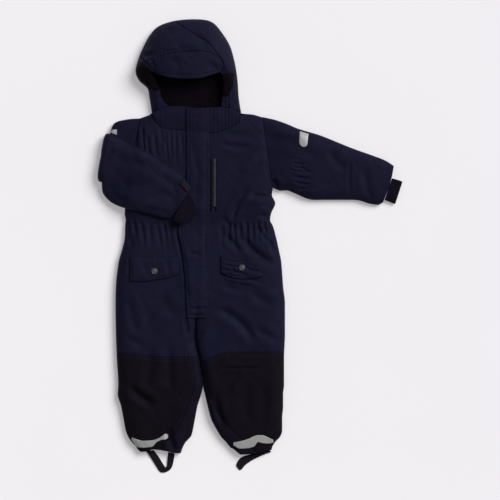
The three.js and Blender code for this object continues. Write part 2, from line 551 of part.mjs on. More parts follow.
// Back half, from the shoulder line to the ankle hem. It is flat below and rounds up to the side seam.
function back(half) {
  const neckY = 285.6;
  const shinY = -380;
  const shoulderY = (x) => Math.min(read(SHOULDER, 'x', x, 'y'), neckY);
  const levels = [
    255, 206, 160, 125, 110, 92, 69, 50, 18, -20, -60, -100, -150, -189, -241, -299, -318, -344, shinY,
  ];
  const hem = [0.3, 0.65, 1].map((k) => (x) => lerp(shinY, read(ANKLE_HEM, 'x', x, 'y'), k));
  const lines = [shoulderY, ...levels.map((y) => () => y), ...hem];
  const face = (across, height) => lines.map((line) => across.map((share) => {
    const [x, y] = place(half, share, line);
    return [x, y, height(x, y)];
  }));
  const under = (x, y) => {
    const [outer, inner] = seams(half, y);
    const side = roundEdge(Math.abs(x - outer), BACK_SOFT, read(BODY, 'y', y, 'side'));
    const middle = roundEdge(Math.abs(x - inner), BACK_SOFT, read(BODY, 'y', y, 'inner'));
    return (BACK_TOP - EDGE) * (1 - side * middle);
  };
  const top = face([0, 0.4, 1], () => BACK_TOP);
  return wall(`back_${half}`, NAVY, top, face([0, 0.02, 0.06, 0.5, 0.94, 0.98, 1], under));
}

// A point of a sleeve at a share of its length and of its width.
function chord(table, s, u) {
  const at = s * (table.length - 1);
  const over = [station(table, at, 'overX'), station(table, at, 'overY')];
  const under = [station(table, at, 'underX'), station(table, at, 'underY')];
  const width = Math.hypot(under[0] - over[0], under[1] - over[1]);
  return { x: lerp(over[0], under[0], u), y: lerp(over[1], under[1], u), width };
}

// How far a sleeve has risen between its two seams, and the depth of its folds.
const tubeRise = (u, width, reach) => roundEdge(Math.min(u, 1 - u) * width, reach, 1);
function sleeveFolds(table, folds, s, u) {
  const { x, y } = chord(table, s, u);
  let depth = 0;
  for (const f of folds) {
    const from = chord(table, f.s1, f.u1);
    const to = chord(table, f.s2, f.u2);
    depth += foldDepth(x, y, from.x, from.y, to.x, to.y, f.width, f.depth);
  }
  return depth;
}

// Height of the left sleeve's top.
function leftSleeveTop(s, u) {
  const { width } = chord(LEFT_SLEEVE, s, u);
  const top = station(LEFT_SLEEVE, s * (LEFT_SLEEVE.length - 1), 'top');
  const relief = sleeveFolds(LEFT_SLEEVE, LEFT_SLEEVE_FOLDS, s, u);
  return LOW + (top - LOW - relief) * tubeRise(u, width, SLEEVE_SOFT);
}

// Underside of a back wall that lies on the floor.
const floorRise = (u, width) => (BACK_TOP - EDGE) * (1 - tubeRise(u, width, BACK_SOFT - 1));

function leftSleeve() {
  const along = range(16);
  const near = (s) => smooth(clamp((s - SLEEVE_END.from) / (1 - SLEEVE_END.from), 0, 1));
  const face = (across, height) => along.map((s) => across.map((u) => {
    const { x, y, width } = chord(LEFT_SLEEVE, s, u);
    const out = read(SLEEVE_BOW, 'u', u, 'out') * near(s);
    return [x + SLEEVE_END.out[0] * out, y + SLEEVE_END.out[1] * out, height(s, u, width)];
  }));
  return [
    wall('sleeve_left_front', NAVY, face(ACROSS_TUBE, leftSleeveTop), face(ACROSS_END, () => FRONT_BASE)),
    wall('sleeve_left_back', NAVY, face(ACROSS_END, () => BACK_TOP),
      face(ACROSS_TUBE_FLAT, (s, u, width) => floorRise(u, width))),
  ];
}

// Height of what the folded part lies on: the upper arm's stub, the body inside the armhole and the storm
// flap, with ramps that lead up to the flap and from the stub to the body.
function layerBelow(x, y) {
  const inset = 4;
  const flapRamp = { reach: 14, run: 12 };
  const stubRamp = { reach: 30, run: 34 };
  const [outer] = seams('right', y);
  const onFlap = clamp((x - read(FLAP, 'y', y, 'right') + flapRamp.reach) / flapRamp.run, 0, 1);
  const inside = frontTop(Math.max(x, outer + inset), y) + smooth(onFlap) * (FLAP_THICK + LAY_GAP);
  if (x >= outer + inset) return inside;
  const overY = read([...STUB].reverse(), 'overX', x, 'overY');
  const underY = read([...STUB].reverse(), 'underX', x, 'underY');
  const rise = roundEdge(overY - y, SLEEVE_SOFT, 1) * roundEdge(y - underY, SLEEVE_SOFT, 1);
  const stub = LOW + (STUB_TOP - LOW) * (y > underY && y < overY ? rise : 0);
  const near = clamp((x - outer + stubRamp.reach) / stubRamp.run, 0, 1);
  return Math.max(stub, lerp(stub, inside, smooth(near)));
}

// The highest point of a surface within a small reach of a place.
function highest(surface, x, y, reach) {
  const steps = [-reach, 0, reach];
  return Math.max(...steps.flatMap((dx) => steps.map((dy) => surface(x + dx, y + dy))));
}

// Heights of the folded part at a place: both faces of its lower wall and both of its upper wall. The padding
// thins by a quarter over the last fifth of its length.
function foldedLayers(s, u) {
  const { x, y, width } = chord(FOLDED, s, u);
  const rise = tubeRise(u, width, SLEEVE_SOFT);
  const ends = 1 - 0.25 * smooth(clamp((s - 0.8) / 0.2, 0, 1));
  const base = highest(layerBelow, x, y, 5) + LAY_GAP;
  const lower = base + EDGE + (INNER_WALL - EDGE) * rise * ends;
  const relief = sleeveFolds(FOLDED, FOLDED_FOLDS, s, u);
  const upper = lower + SEAM_GAP + EDGE + (OUTER_WALL - EDGE - relief) * rise * ends;
  return { x, y, base, lower, mid: lower + SEAM_GAP, upper };
}

// Right sleeve: each of its two walls runs out along the upper arm, turns back at the fold and lies on
// itself. The upper arm is a little higher at the shoulder.
function rightSleeve() {
  const stubRows = [0, 0.2, 0.4, 0.6, 0.8, 0.97];
  const turns = [-0.5, -0.36, -0.2, 0, 0.2, 0.36, 0.5];
  const foldedRows = [0.03, 0.1, 0.18, 0.26, 0.34, 0.42, 0.5, 0.58, 0.66, 0.74, 0.82, 0.9, 0.96, 1];
  const shoulder = { rise: 3.5, until: 0.6 };
  const extra = (s) => shoulder.rise * (1 - smooth(clamp(s / shoulder.until, 0, 1)));
  const stubTop = (u, width, s) => LOW + (STUB_TOP - LOW + extra(s)) * tubeRise(u, width, SLEEVE_SOFT);
  // one face of a wall: its height on the stub, its height on the folded part
  const face = (across, stubHeight, foldedHeight) => {
    const flat = stubRows.map((s) => across.map((u) => {
      const { x, y, width } = chord(STUB, s, u);
      return [x, y, stubHeight(u, width, s)];
    }));
    const turn = turns.map((angle) => across.map((u) => {
      const { x, y, width } = chord(FOLDED, 0, u);
      const [from, to] = [stubHeight(u, width, 1), foldedHeight(foldedLayers(0, u))];
      const half = (to - from) / 2;
      const out = half * FOLD_BULGE * Math.cos(angle * Math.PI);
      const z = (from + to) / 2 + half * Math.sin(angle * Math.PI);
      return [x + FOLD_OUT[0] * out, y + FOLD_OUT[1] * out, z];
    }));
    const folded = foldedRows.map((s) => across.map((u) => {
      const layers = foldedLayers(s, u);
      return [layers.x, layers.y, foldedHeight(layers)];
    }));
    return [...flat, ...turn, ...folded];
  };
  const across = ACROSS_TUBE;
  const frontOuter = face(across, () => FRONT_BASE, (layers) => layers.lower);
  const frontInner = face(across, stubTop, (layers) => layers.base);
  const backOuter = face(across, (u, width) => floorRise(u, width), (layers) => layers.upper);
  const backInner = face(across, () => BACK_TOP, (layers) => layers.mid);
  return [
    wall('sleeve_right_front', NAVY, frontOuter, frontInner),
    wall('sleeve_right_back', NAVY, backOuter, backInner),
  ];
}

// Rib knit cuff: a flattened tube with raised ribs outside and a plain slit inside. Its section is a flat
// oval made with powers of the cosine and the sine.
function cuff(name, table) {
  const around = CUFF.ribs * 2;
  const power = (value, exponent) => Math.sign(value) * Math.abs(value) ** exponent;
  const ring = (row, halfHeight, inset, count, rib) => Array.from({ length: count }, (_, i) => {
    const turn = (2 * Math.PI * i) / count;
    const half = Math.hypot(row.overX - row.underX, row.overY - row.underY) / 2;
    const bump = rib * (i % 2 === 0 ? 1 : -1);
    const aside = (power(Math.cos(turn), 0.8) * (half - inset + bump)) / (2 * half);
    const lift = power(Math.sin(turn), 0.6) * (halfHeight + bump);
    const x = (row.overX + row.underX) / 2 + (row.overX - row.underX) * aside;
    const y = (row.overY + row.underY) / 2 + (row.overY - row.underY) * aside;
    return [x, y, row.z + lift];
  });
  const thick = CUFF.wall + CUFF.slit;
  const outer = table.map((row) => ring(row, thick, CUFF.rib, around, CUFF.rib));
  const inner = table.map((row) => ring(row, CUFF.slit, CUFF.wall + CUFF.rib, 20, 0));
  const points = [];
  const faces = [];
  const keep = (rows) => rows.map((row) => row.map((p) => points.push(p) - 1));
  const [out, inn] = [keep(outer), keep(inner)];
  const band = (a, b) => {
    let i = 0;
    let j = 0;
    while (i < a.length || j < b.length) {
      const nextA = i < a.length ? (i + 1) / a.length : 2;
      const nextB = j < b.length ? (j + 1) / b.length : 2;
      if (nextB <= nextA) {
        faces.push([a[i % a.length], b[j % b.length], b[(j + 1) % b.length]]);
        j += 1;
      } else {
        faces.push([a[i % a.length], b[j % b.length], a[(i + 1) % a.length]]);
        i += 1;
      }
    }
  };
  for (let i = 0; i < table.length - 1; i += 1) {
    band(out[i], out[i + 1]);
    band(inn[i + 1], inn[i]);
  }
  band(inn[0], out[0]);
  band(out[table.length - 1], inn[table.length - 1]);
  return body(name, KNIT, points, faces);
}

// A point of the hood's shell: a station round the opening and a share of the way out to the outline. The
// shell falls from the opening's edge to the outline on a quarter round.
function hoodPoint(at, out) {
  const value = (column) => station(HOOD, at, column);
  const x = lerp(value('inX'), value('outX'), out);
  const y = lerp(value('inY'), value('outY'), out);
  const way = clamp(out, 0, 1);
  const fall = (1 - way ** 2.4) ** 0.62;
  return [x, y, LOW + (value('top') - LOW) * fall + HOOD_SWELL * Math.sin(Math.PI * way)];
}

// The same point moved in by the wall's thickness, across the shell, and kept above the hood's back.
function hoodInside(at, out) {
  const step = 0.02;
  const [a, b] = [hoodPoint(at, Math.max(out - step, 0)), hoodPoint(at, Math.min(out + step, 1))];
  const [p, s] = [hoodPoint(at, out), [b[0] - a[0], b[1] - a[1], b[2] - a[2]]];
  const flat = Math.hypot(s[0], s[1]);
  const long = Math.hypot(flat, s[2]);
  const thick = lerp(HOOD_WALL, EDGE, smooth(clamp((out - 0.75) / 0.25, 0, 1)));
  const inward = (thick * Math.max(-s[2], 0)) / long;
  const z = p[2] - (thick * flat) / long;
  return [p[0] - (s[0] / flat) * inward, p[1] - (s[1] / flat) * inward, Math.max(z, FRONT_BASE)];
}

// Points of a hood panel between two stations, both functions of the way out, with a row at each share.
const hoodFace = (point, from, to, outs, columns) => outs.map(
  (out) => columns.map((k) => point(lerp(from(out), to(out), k), out)),
);

function hoodPanel(name, from, to, outs, columns) {
  const face = (point) => hoodFace(point, from, to, outs, range(columns));
  return wall(name, NAVY, face(hoodPoint), face(hoodInside));
}

// The hood's edge turned out, so that its lining shows: it lies on the first rows of a side panel.
function turnedEdge(name, { lift, start, lean, stop, rows }, outs) {
  const lifted = (height) => (at, out) => {
    const [x, y, z] = hoodPoint(at, out);
    return [x, y, z + height];
  };
  const face = (height) => hoodFace(
    lifted(height), (out) => start + lean * out, () => stop, outs.slice(0, rows), range(6),
  );
  return wall(name, LINING, face(lift + TURNED_EDGE), face(lift));
}

function hood() {
  const last = HOOD.length - 1;
  const brimRows = [0, 0.12, 0.24, 0.35, BRIM_OUT - 0.003];
  const crownRows = [BRIM_OUT + 0.003, 0.52, 0.58, 0.65, 0.72, 0.8, 0.88, 0.95, 1];
  const sideRows = [...brimRows, ...crownRows];
  const leftSeam = (out) => read(HOOD_LEFT_SEAM, 'out', out, 'at');
  const centre = [() => HOOD_RIGHT_SEAM + PANEL_GAP, (out) => leftSeam(out) - PANEL_GAP];
  const rightSide = [() => HOOD_END, () => HOOD_RIGHT_SEAM - PANEL_GAP];
  const leftSide = [(out) => leftSeam(out) + PANEL_GAP, () => last - HOOD_END];
  return [
    hoodPanel('hood_brim', ...centre, brimRows, 16),
    hoodPanel('hood_crown', ...centre, crownRows, 12),
    hoodPanel('hood_side_right', ...rightSide, sideRows, 9),
    hoodPanel('hood_side_left', ...leftSide, sideRows, 13),
    turnedEdge('hood_edge_right', RIGHT_TURNED, sideRows),
    turnedEdge('hood_edge_left', LEFT_TURNED, sideRows),
  ];
}

// Back of the hood on the floor, and the lining on it, as rows from the neck to the top.
function hoodBack() {
  const crownY = 487;
  const neckY = 286;
  const pad = { edge: 1.2, rise: 4, side: 40, neck: 30, inset: 14 };
  const half = HOOD.length >> 1;
  const rightLine = HOOD.slice(0, half + 2).map(({ outX, outY }) => ({ x: outX, y: outY }));
  const leftLine = HOOD.slice(half + 1).map(({ outX, outY }) => ({ x: outX, y: outY }));
  const levels = [286, 302, 318, 338, 355, 376, 404, 430, 450, 466, 477, 484, 486.4];
  const edges = (y, inset) => [read(rightLine, 'y', y, 'x') + inset, read(leftLine, 'y', y, 'x') - inset];
  const face = (ys, inset, across, height) => ys.map((y) => across.map((u) => {
    const [from, to] = edges(y, inset);
    return [lerp(from, to, u), y, height(u, y, (to - from) * Math.min(u, 1 - u))];
  }));
  const top = BACK_TOP;
  const soft = (near, y) => roundEdge(near, BACK_SOFT, 1) * roundEdge(crownY - y, BACK_SOFT, 1);
  const under = (u, y, near) => (top - EDGE) * (1 - soft(near, y));
  const back = wall('hood_back', NAVY, face(levels, 0.3, [0, 0.5, 1], () => top),
    face(levels, 0.3, [0, 0.03, 0.08, 0.5, 0.92, 0.97, 1], under));
  const liningLevels = [287, 305, 325, 345, 362, 380, 400, 420];
  const base = top + SEAM_GAP;
  const padRise = (near, y) => roundEdge(near, pad.side, 1) * roundEdge(y - neckY, pad.neck, 1);
  const padTop = (u, y, near) => base + pad.edge + pad.rise * padRise(near, y);
  const lining = wall('hood_lining', LINING, face(liningLevels, pad.inset, range(8), padTop),
    face(liningLevels, pad.inset, [0, 0.5, 1], () => base));
  return [back, lining];
}

// Half of the stand-up collar, between the neckline and its top edge, at the chin.
function collar(half) {
  const xs = collarPlaces(half);
  const across = [0, 0.25, 0.5, 0.75, 1];
  const gap = { top: 0.4, neck: 0.25 };
  const topEdge = (x) => read(COLLAR_TOP, 'x', x, 'y') - gap.top;
  const yAt = (x, k) => lerp(topEdge(x), read(NECKLINE, 'x', x, 'y') + gap.neck, k);
  const top = xs.map((x) => across.map((k) => [x, yAt(x, k), chestTop(x, yAt(x, k) + 0.001)]));
  const thick = (x) => lerp(EDGE, COLLAR.wall, smooth(clamp(Math.abs(x - xs[0]) / COLLAR.taper, 0, 1)));
  const under = xs.map((x) => across.map((k) => {
    const y = yAt(x, k);
    return [x, y, Math.max(chestTop(x, y + 0.001) - thick(x), BACK_TOP + COLLAR.under)];
  }));
  return wall(`collar_${half}`, NAVY, top, under);
}

// A piece that lies on the front: a grid of places, its underside just above the front and its top a
// thickness higher, thinner at its rim.
function laid(name, material, rows, thick, rim = 0.5, surface = chestTop, reach = 2) {
  const last = rows.length - 1;
  const seat = (x, y) => highest(surface, x, y, reach) + LAY_GAP;
  const under = rows.map((row) => row.map(([x, y]) => [x, y, seat(x, y)]));
  const top = rows.map((row, i) => row.map(([x, y], j) => {
    const inside = i > 0 && i < last && j > 0 && j < row.length - 1;
    return [x, y, seat(x, y) + (inside ? thick : thick * rim)];
  }));
  return wall(name, material, top, under);
}

function stormFlap() {
  const ys = [
    296.5, 285, 272, 258, 246, 232, 210, 188, 164, 146, 124, 102, 84, 68, 56, 46, 36, 26, 14, 2, -14, -34,
    -54, -73, -95, -116, -136, -152, -155,
  ];
  const rows = ys.map((y) => [0, 0.04, 0.35, 0.65, 0.96, 1].map((u) => [
    lerp(read(FLAP, 'y', y, 'right'), read(FLAP, 'y', y, 'left'), u), y,
  ]));
  return laid('storm_flap', NAVY, rows, FLAP_THICK);
}

// Chest pocket: a welt with its two lips, and the zip between them.
function chestPocket() {
  const { left, right, top, bottom, welt, thick } = CHEST_POCKET;
  const zip = { thick: 1.4, rim: 0.8 };
  const ys = range(8).map((k) => lerp(top, bottom, k));
  const strip = (from, to, rows) => rows.map((y) => range(2).map((u) => [lerp(from, to, u), y]));
  const lip = (name, from, to) => laid(name, NAVY, strip(from, to, ys), thick);
  const tape = strip(right + welt + SEAM_GAP, left - welt - SEAM_GAP, ys.slice(0, -1));
  return [
    lip('chest_welt_right', right, right + welt),
    lip('chest_welt_left', left - welt, left),
    laid('chest_zip', ZIP, tape, zip.thick, zip.rim),
  ];
}

// Hip pocket flap, between its top and bottom edges over x.
function hipFlap(half, table) {
  const xs = range(9).map((k) => lerp(table[0].x, table[table.length - 1].x, k));
  const rows = xs.map((x) => [0, 0.08, 0.5, 0.92, 1].map((u) => [
    x, lerp(read(table, 'x', x, 'top'), read(table, 'x', x, 'bottom'), u),
  ]));
  return laid(`hip_flap_${half}`, NAVY, rows, HIP_FLAP_THICK);
}

// Snap on a hip flap: a low turned cap with a rim.
function snap(half, { x, y }) {
  const { radius, height, rim } = SNAP;
  const clearance = 0.55;
  const seat = frontTop(x, y) + LAY_GAP + HIP_FLAP_THICK + clearance;
  const profile = [
    [0, 0], [radius, 0], [radius, height * 0.45], [radius - rim, height * 0.8],
    [radius - 2 * rim, height * 0.5], [radius * 0.35, height * 0.72], [0, height * 0.8],
  ].map(([r, z]) => new THREE.Vector2(r, z));
  const geometry = new THREE.LatheGeometry(profile, 20);
  geometry.rotateX(Math.PI / 2);
  const mesh = new THREE.Mesh(geometry, SNAP_METAL);
  mesh.name = `snap_${half}`;
  mesh.position.set(x, y, seat);
  return mesh;
}

// Reflective shape at an ankle, between its top and bottom edges over x.
function ankleMark(half, table) {
  const xs = range(14).map((k) => lerp(table[0].x, table[table.length - 1].x, k));
  const rows = xs.map((x) => [0, 0.5, 1].map((u) => [
    x, lerp(read(table, 'x', x, 'top'), read(table, 'x', x, 'bottom'), u),
  ]));
  const lifted = (x, y) => frontTop(x, y) + KNEE_LIFT + 0.1;
  return laid(`ankle_mark_${half}`, SILVER, rows, MARK_THICK, MARK_RIM, lifted);
}

// Foot strap: a band of webbing, as rows across it.
function footStrap(half, table) {
  const rows = range(12).map((k) => k * (table.length - 1));
  const face = (lift) => rows.map((at) => [0, 1].map((u) => [
    lerp(station(table, at, 'outX'), station(table, at, 'inX'), u),
    lerp(station(table, at, 'outY'), station(table, at, 'inY'), u),
    station(table, at, 'z') + lift,
  ]));
  return wall(`foot_strap_${half}`, WEBBING, face(STRAP_THICK / 2), face(-STRAP_THICK / 2));
}

// Reflective loop on the left upper sleeve: from the overarm line, its far end round.
function sleeveMark() {
  const { from, to, start, length, round, thick } = SLEEVE_MARK;
  const rows = range(6).map((k) => range(4).map((j) => {
    const narrow = Math.sqrt(1 - clamp((k - round) / 0.34, 0, 1) ** 2);
    const s = lerp(from, to, 0.5 + (j - 0.5) * narrow);
    return { s, u: start + (length * k) / chord(LEFT_SLEEVE, s, 0.5).width };
  }));
  const face = (lift) => rows.map((row) => row.map(({ s, u }) => {
    const { x, y } = chord(LEFT_SLEEVE, s, u);
    return [x, y, leftSleeveTop(s, u) + lift];
  }));
  return wall('sleeve_mark_left', SILVER, face(LAY_GAP + thick), face(LAY_GAP));
}

// A patch on the folded sleeve's top, between shares of its length and width.
function foldedPatch(name, material, { from, to, over, under, thick, lift: seat }) {
  const face = (lift) => range(4).map((k) => range(3).map((j) => {
    const layers = foldedLayers(lerp(from, to, k), lerp(over, under, j));
    return [layers.x, layers.y, layers.upper + seat + lift];
  }));
  return wall(name, material, face(LAY_GAP + thick), face(LAY_GAP));
}

// Reflective loop on the right upper sleeve: what shows of it on the upper arm, next to the fold.
function foldMark() {
  const thick = 1.2;
  const reach = 3;
  const armTop = (x, y) => {
    const over = read(STUB, 'overX', x, 'overY');
    return LOW + (STUB_TOP - LOW) * roundEdge(over - y, SLEEVE_SOFT, 1);
  };
  const xs = range(4).map((k) => lerp(FOLD_MARK[0].x, FOLD_MARK[2].x, k));
  const rows = xs.map((x) => [0, 0.5, 1].map((u) => [
    x, lerp(read(FOLD_MARK, 'x', x, 'top'), read(FOLD_MARK, 'x', x, 'bottom'), u),
  ]));
  return laid('sleeve_mark_right', SILVER, rows, thick, MARK_RIM, armTop, reach);
}

const snowsuit = new THREE.Group();
snowsuit.name = 'baby_snowsuit';
for (const half of ['right', 'left']) {
  snowsuit.add(back(half), front(half), knee(half), gusset(half), collar(half));
}
snowsuit.add(...leftSleeve(), ...rightSleeve());
snowsuit.add(cuff('rib_cuff_left', LEFT_CUFF), cuff('rib_cuff_right', RIGHT_CUFF));
snowsuit.add(...hood(), ...hoodBack());
snowsuit.add(stormFlap(), ...chestPocket());
snowsuit.add(hipFlap('right', RIGHT_HIP_FLAP), hipFlap('left', LEFT_HIP_FLAP));
snowsuit.add(snap('right', RIGHT_SNAP), snap('left', LEFT_SNAP));
snowsuit.add(ankleMark('right', RIGHT_ANKLE_MARK), ankleMark('left', LEFT_ANKLE_MARK));
snowsuit.add(footStrap('right', RIGHT_STRAP), footStrap('left', LEFT_STRAP));
snowsuit.add(sleeveMark(), foldMark(), foldedPatch('wrist_tab_right', WEBBING, WRIST_TAB));

export default snowsuit;
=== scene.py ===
# A toddler's padded one-piece snowsuit, laid flat on its back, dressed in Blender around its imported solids.
# The pieces are worked out from the same named tables as the solids. Lengths in the tables are millimetres,
# and everything else is in metres. +Z is up, the hood lies towards +Y, and left and right are the wearer's.
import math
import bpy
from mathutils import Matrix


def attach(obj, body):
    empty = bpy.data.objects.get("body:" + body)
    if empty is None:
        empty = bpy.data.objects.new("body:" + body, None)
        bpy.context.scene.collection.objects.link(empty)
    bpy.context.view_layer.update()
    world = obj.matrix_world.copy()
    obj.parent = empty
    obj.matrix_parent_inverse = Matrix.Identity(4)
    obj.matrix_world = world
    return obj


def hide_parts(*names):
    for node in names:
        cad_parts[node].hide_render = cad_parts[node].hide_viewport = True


bl_info = {
    "name": "Toddler Snowsuit",
    "version": (1, 0, 0),
    "blender": (4, 5, 0),
    "location": "View3D > Sidebar > Snowsuit",
    "description": "A padded one-piece snowsuit, laid flat with one sleeve folded over the chest",
    "category": "Add Mesh",
}

import bpy
import numpy as np

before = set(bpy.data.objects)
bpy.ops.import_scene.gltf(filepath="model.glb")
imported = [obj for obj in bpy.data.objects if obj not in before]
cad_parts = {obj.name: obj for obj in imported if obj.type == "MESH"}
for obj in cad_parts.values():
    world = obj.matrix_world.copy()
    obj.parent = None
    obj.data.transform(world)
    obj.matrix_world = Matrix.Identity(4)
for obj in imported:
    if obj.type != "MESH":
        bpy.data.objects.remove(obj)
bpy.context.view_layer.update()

MM = 0.001
BACK_TOP = 7 * MM             # the back halves reach from the floor to here
SEAM_GAP = 0.06 * MM          # what is left open between two pieces that are sewn together
ARMHOLE_LAP = 0.24 * MM       # how far the body runs out to meet the sleeves
LAY_GAP = 0.6 * MM            # clearance below a piece that lies on another
EDGE = 1.6 * MM               # thickness of a padded wall where it runs into its seam
BACK_SOFT = 13 * MM           # how far in the edges of the back are rounded
HEM = 13 * MM                 # how far above its edge a sleeve's hem is stitched
KNEE_LIFT = 0.4 * MM          # thickness of the coated cloth over the knees
FRONT_BASE = BACK_TOP + SEAM_GAP
LOW = FRONT_BASE + EDGE
MIDDLE = -113 * MM            # the line where the two fronts meet
DRESSED = "_dressed"          # ends the name of each object that stands for a solid


def table(names, rows, shares=""):
    """A short table as named columns. Lengths become metres; the columns named in shares stay as written."""
    columns = np.array(rows, float).T
    return {n: c if n in shares.split() else c * MM for n, c in zip(names.split(), columns)}


# Body: at each y the side seams, the line where the halves meet and half the gap between the legs, the
# height of the top, how far in the edges are rounded, and how round the side and the inner edge are
BODY = table("y right left middle gap top soft side inner", [
    [300, -232.4, 23.3, -113, 0.15, 19, 40, 0.4, 0],
    [277, -236.4, 26.6, -113, 0.15, 20, 40, 0.4, 0],
    [206, -248.8, 36.9, -113, 0.15, 25, 44, 0.4, 0],
    [140, -260.4, 46.4, -113, 0.15, 26, 44, 0.7, 0],
    [125, -263, 48.6, -113, 0.15, 26, 44, 0.9, 0],
    [110, -267, 47, -113, 0.15, 25, 42, 1, 0],
    [92, -268, 54, -113, 0.15, 25, 40, 1, 0],
    [69, -269, 45, -113, 0.15, 23, 38, 1, 0],
    [56, -267, 43, -113, 0.15, 21, 36, 1, 0],
    [43, -268, 49, -113, 0.15, 20, 36, 1, 0],
    [18, -269, 56, -113, 0.15, 22, 38, 1, 0],
    [-9, -275, 62, -113, 0.15, 24, 42, 1, 0],
    [-34, -282, 67, -113, 0.15, 26, 44, 1, 0],
    [-86, -288, 71, -113, 0.15, 28, 46, 1, 0],
    [-125, -289, 75, -114, 0.15, 28, 46, 1, 0.1],
    [-189, -288, 75, -118, 0.15, 28, 44, 1, 0.8],
    [-241, -286, 73, -110, 0.15, 27, 40, 1, 1],
    [-299, -283, 73, -101, 0.15, 27, 38, 1, 1],
    [-318, -284, 71, -101, 4, 26, 38, 1, 1],
    [-344, -277, 71, -102, 11, 25, 37, 1, 1],
    [-370, -272, 69, -101, 17, 24, 36, 1, 1],
    [-396, -267, 69, -97, 26, 22, 34, 1, 1],
    [-409, -262, 65, -95, 32, 21, 32, 1, 1],
    [-421, -254, 54, -95, 43, 20, 30, 1, 1],
    [-434, -243, 47, -93, 52, 18, 28, 1, 1],
    [-450, -238, 45, -88, 62, 17, 26, 1, 1],
], shares="side inner")

NECKLINE = table("x y", [
    [-237, 274], [-226, 277], [-213, 282], [-206, 269], [-193, 256], [-183, 252], [-150, 249], [-113, 245],
    [-77, 242], [-43, 254], [-32, 260], [-24, 267], [-17, 282], [0, 283], [27, 276.5],
])
COLLAR_TOP = table("x y", [
    [-212, 285.5], [-176, 300], [-150, 301], [-113, 297], [-86, 298], [-62, 299], [-18, 285.5],
])
SHOULDER = table("x y", [
    [-237, 274], [-226, 277], [-213, 284], [-204, 340], [-26, 340], [-18, 285], [0, 283], [27, 276.5],
])
KNEE_SEAM = table("x y", [
    [-284, -230], [-236, -234], [-193, -239], [-112, -239], [-101, -247], [-86, -241], [-64, -232],
    [-39, -228], [75, -228],
])
ANKLE_HEM = table("x y", [
    [-243, -435], [-234, -442], [-219, -441], [-209, -437], [-178, -441], [-163, -445], [-148, -445],
    [-93, -440], [-41, -434], [-19, -448], [10, -446], [47, -438],
])
GUSSET = table("y right left", [
    [-225, 12, 7], [-318, 19, 10], [-370, 26, 22], [-409, 38, 36], [-450, 48, 50],
])

# Sleeves: chords from the overarm line to the underarm line, with the height of the top
LEFT_SLEEVE = table("over_x over_y under_x under_y top", [
    [26.9, 277, 48.9, 125, 17], [54, 271, 64, 119, 20], [80, 262, 80, 119, 22], [105, 251.5, 96, 113, 23],
    [150, 238, 128, 100, 23], [190, 222, 162, 99, 22], [225, 208, 200, 99, 22], [262, 195, 232, 98, 21],
    [290, 184, 256, 91, 19], [309, 172, 276, 88, 17],
])
STUB = table("over_x over_y under_x under_y", [
    [-237.3, 274, -263.4, 125], [-264, 272, -283, 127], [-291, 264, -304, 130], [-301, 241, -318.4, 137],
])
FOLDED = table("over_x over_y under_x under_y", [
    [-301, 241, -318.4, 137], [-284, 233, -316, 114], [-262, 221, -301, 96], [-245, 213, -283, 86],
    [-228, 206, -264, 80], [-200, 188, -234, 72], [-172, 170, -206, 64], [-147, 152, -186, 58],
    [-126, 124, -169, 60],
])
STUB_TOP = 15 * MM            # the flattened upper arm below the fold
SLEEVE_SOFT = 30 * MM         # how far in a sleeve's edges are rounded
FOLD_OUT = (-0.98, 0.19)      # the way the fold faces on the floor
FOLD_BULGE = 0.8              # how far the fold stands out, to its own half height
INNER_WALL = 5.5 * MM         # the folded sleeve's lower wall
OUTER_WALL = 9 * MM           # and its upper wall
SLEEVE_END = (0.93, -0.37)    # the way the left sleeve's end bows out over its cuff
SLEEVE_BOW = table("u out", [[0, 0], [0.3, 5], [0.6, 7], [0.88, 7], [1, 0]], shares="u")
BOW_FROM = 0.84
LEFT_LONG, FOLDED_LONG = 290 * MM, 190 * MM   # lengths of the left sleeve and of the folded part

# Hood: stations round the face opening, from the right neck over the top to the left neck
HOOD = table("in_x in_y out_x out_y top", [
    [-176, 300.5, -211, 286, 24], [-190, 318, -216, 318, 25], [-194, 338, -220, 338, 28],
    [-204, 357, -238, 355, 32], [-211, 372, -246, 376, 38], [-203, 370, -239, 404, 46],
    [-190, 366, -228, 430, 51], [-178, 362, -213, 456, 54], [-163, 360, -193, 474, 56],
    [-140, 358, -155, 485, 57], [-112, 359, -108, 487, 57], [-97, 361.5, -80, 480, 55],
    [-85, 366, -60, 458, 52], [-72, 370, -43, 430, 48], [-62, 371, -34, 400, 42], [-58, 360, -29, 374, 35],
    [-57, 342, -26, 348, 30], [-59, 318, -24, 318, 26], [-62, 299.5, -19, 286, 24],
])
HOOD_WALL = 5 * MM
HOOD_LEFT_SEAM = table("out at", [
    [0, 14], [0.3, 13.8], [0.46, 13], [0.58, 11.4], [0.72, 9.9], [1, 8.8],
], shares="out at")
HOOD_RIGHT_SEAM = 5.2         # station of the seam between the crown and the right side
BRIM_OUT = 0.46               # the brim's seam, as a share of the way out
HOOD_WAY = 115 * MM           # the usual way over the shell from the opening to the outline
HOOD_END = 0.02               # how far the sides stop short of the first and last station
PANEL_GAP = 0.03              # half the gap between two panels, in stations
HOOD_LAST = 18                # the last station
TURNED_EDGE = 1.6 * MM        # the hood's edge turned out, so that its lining shows

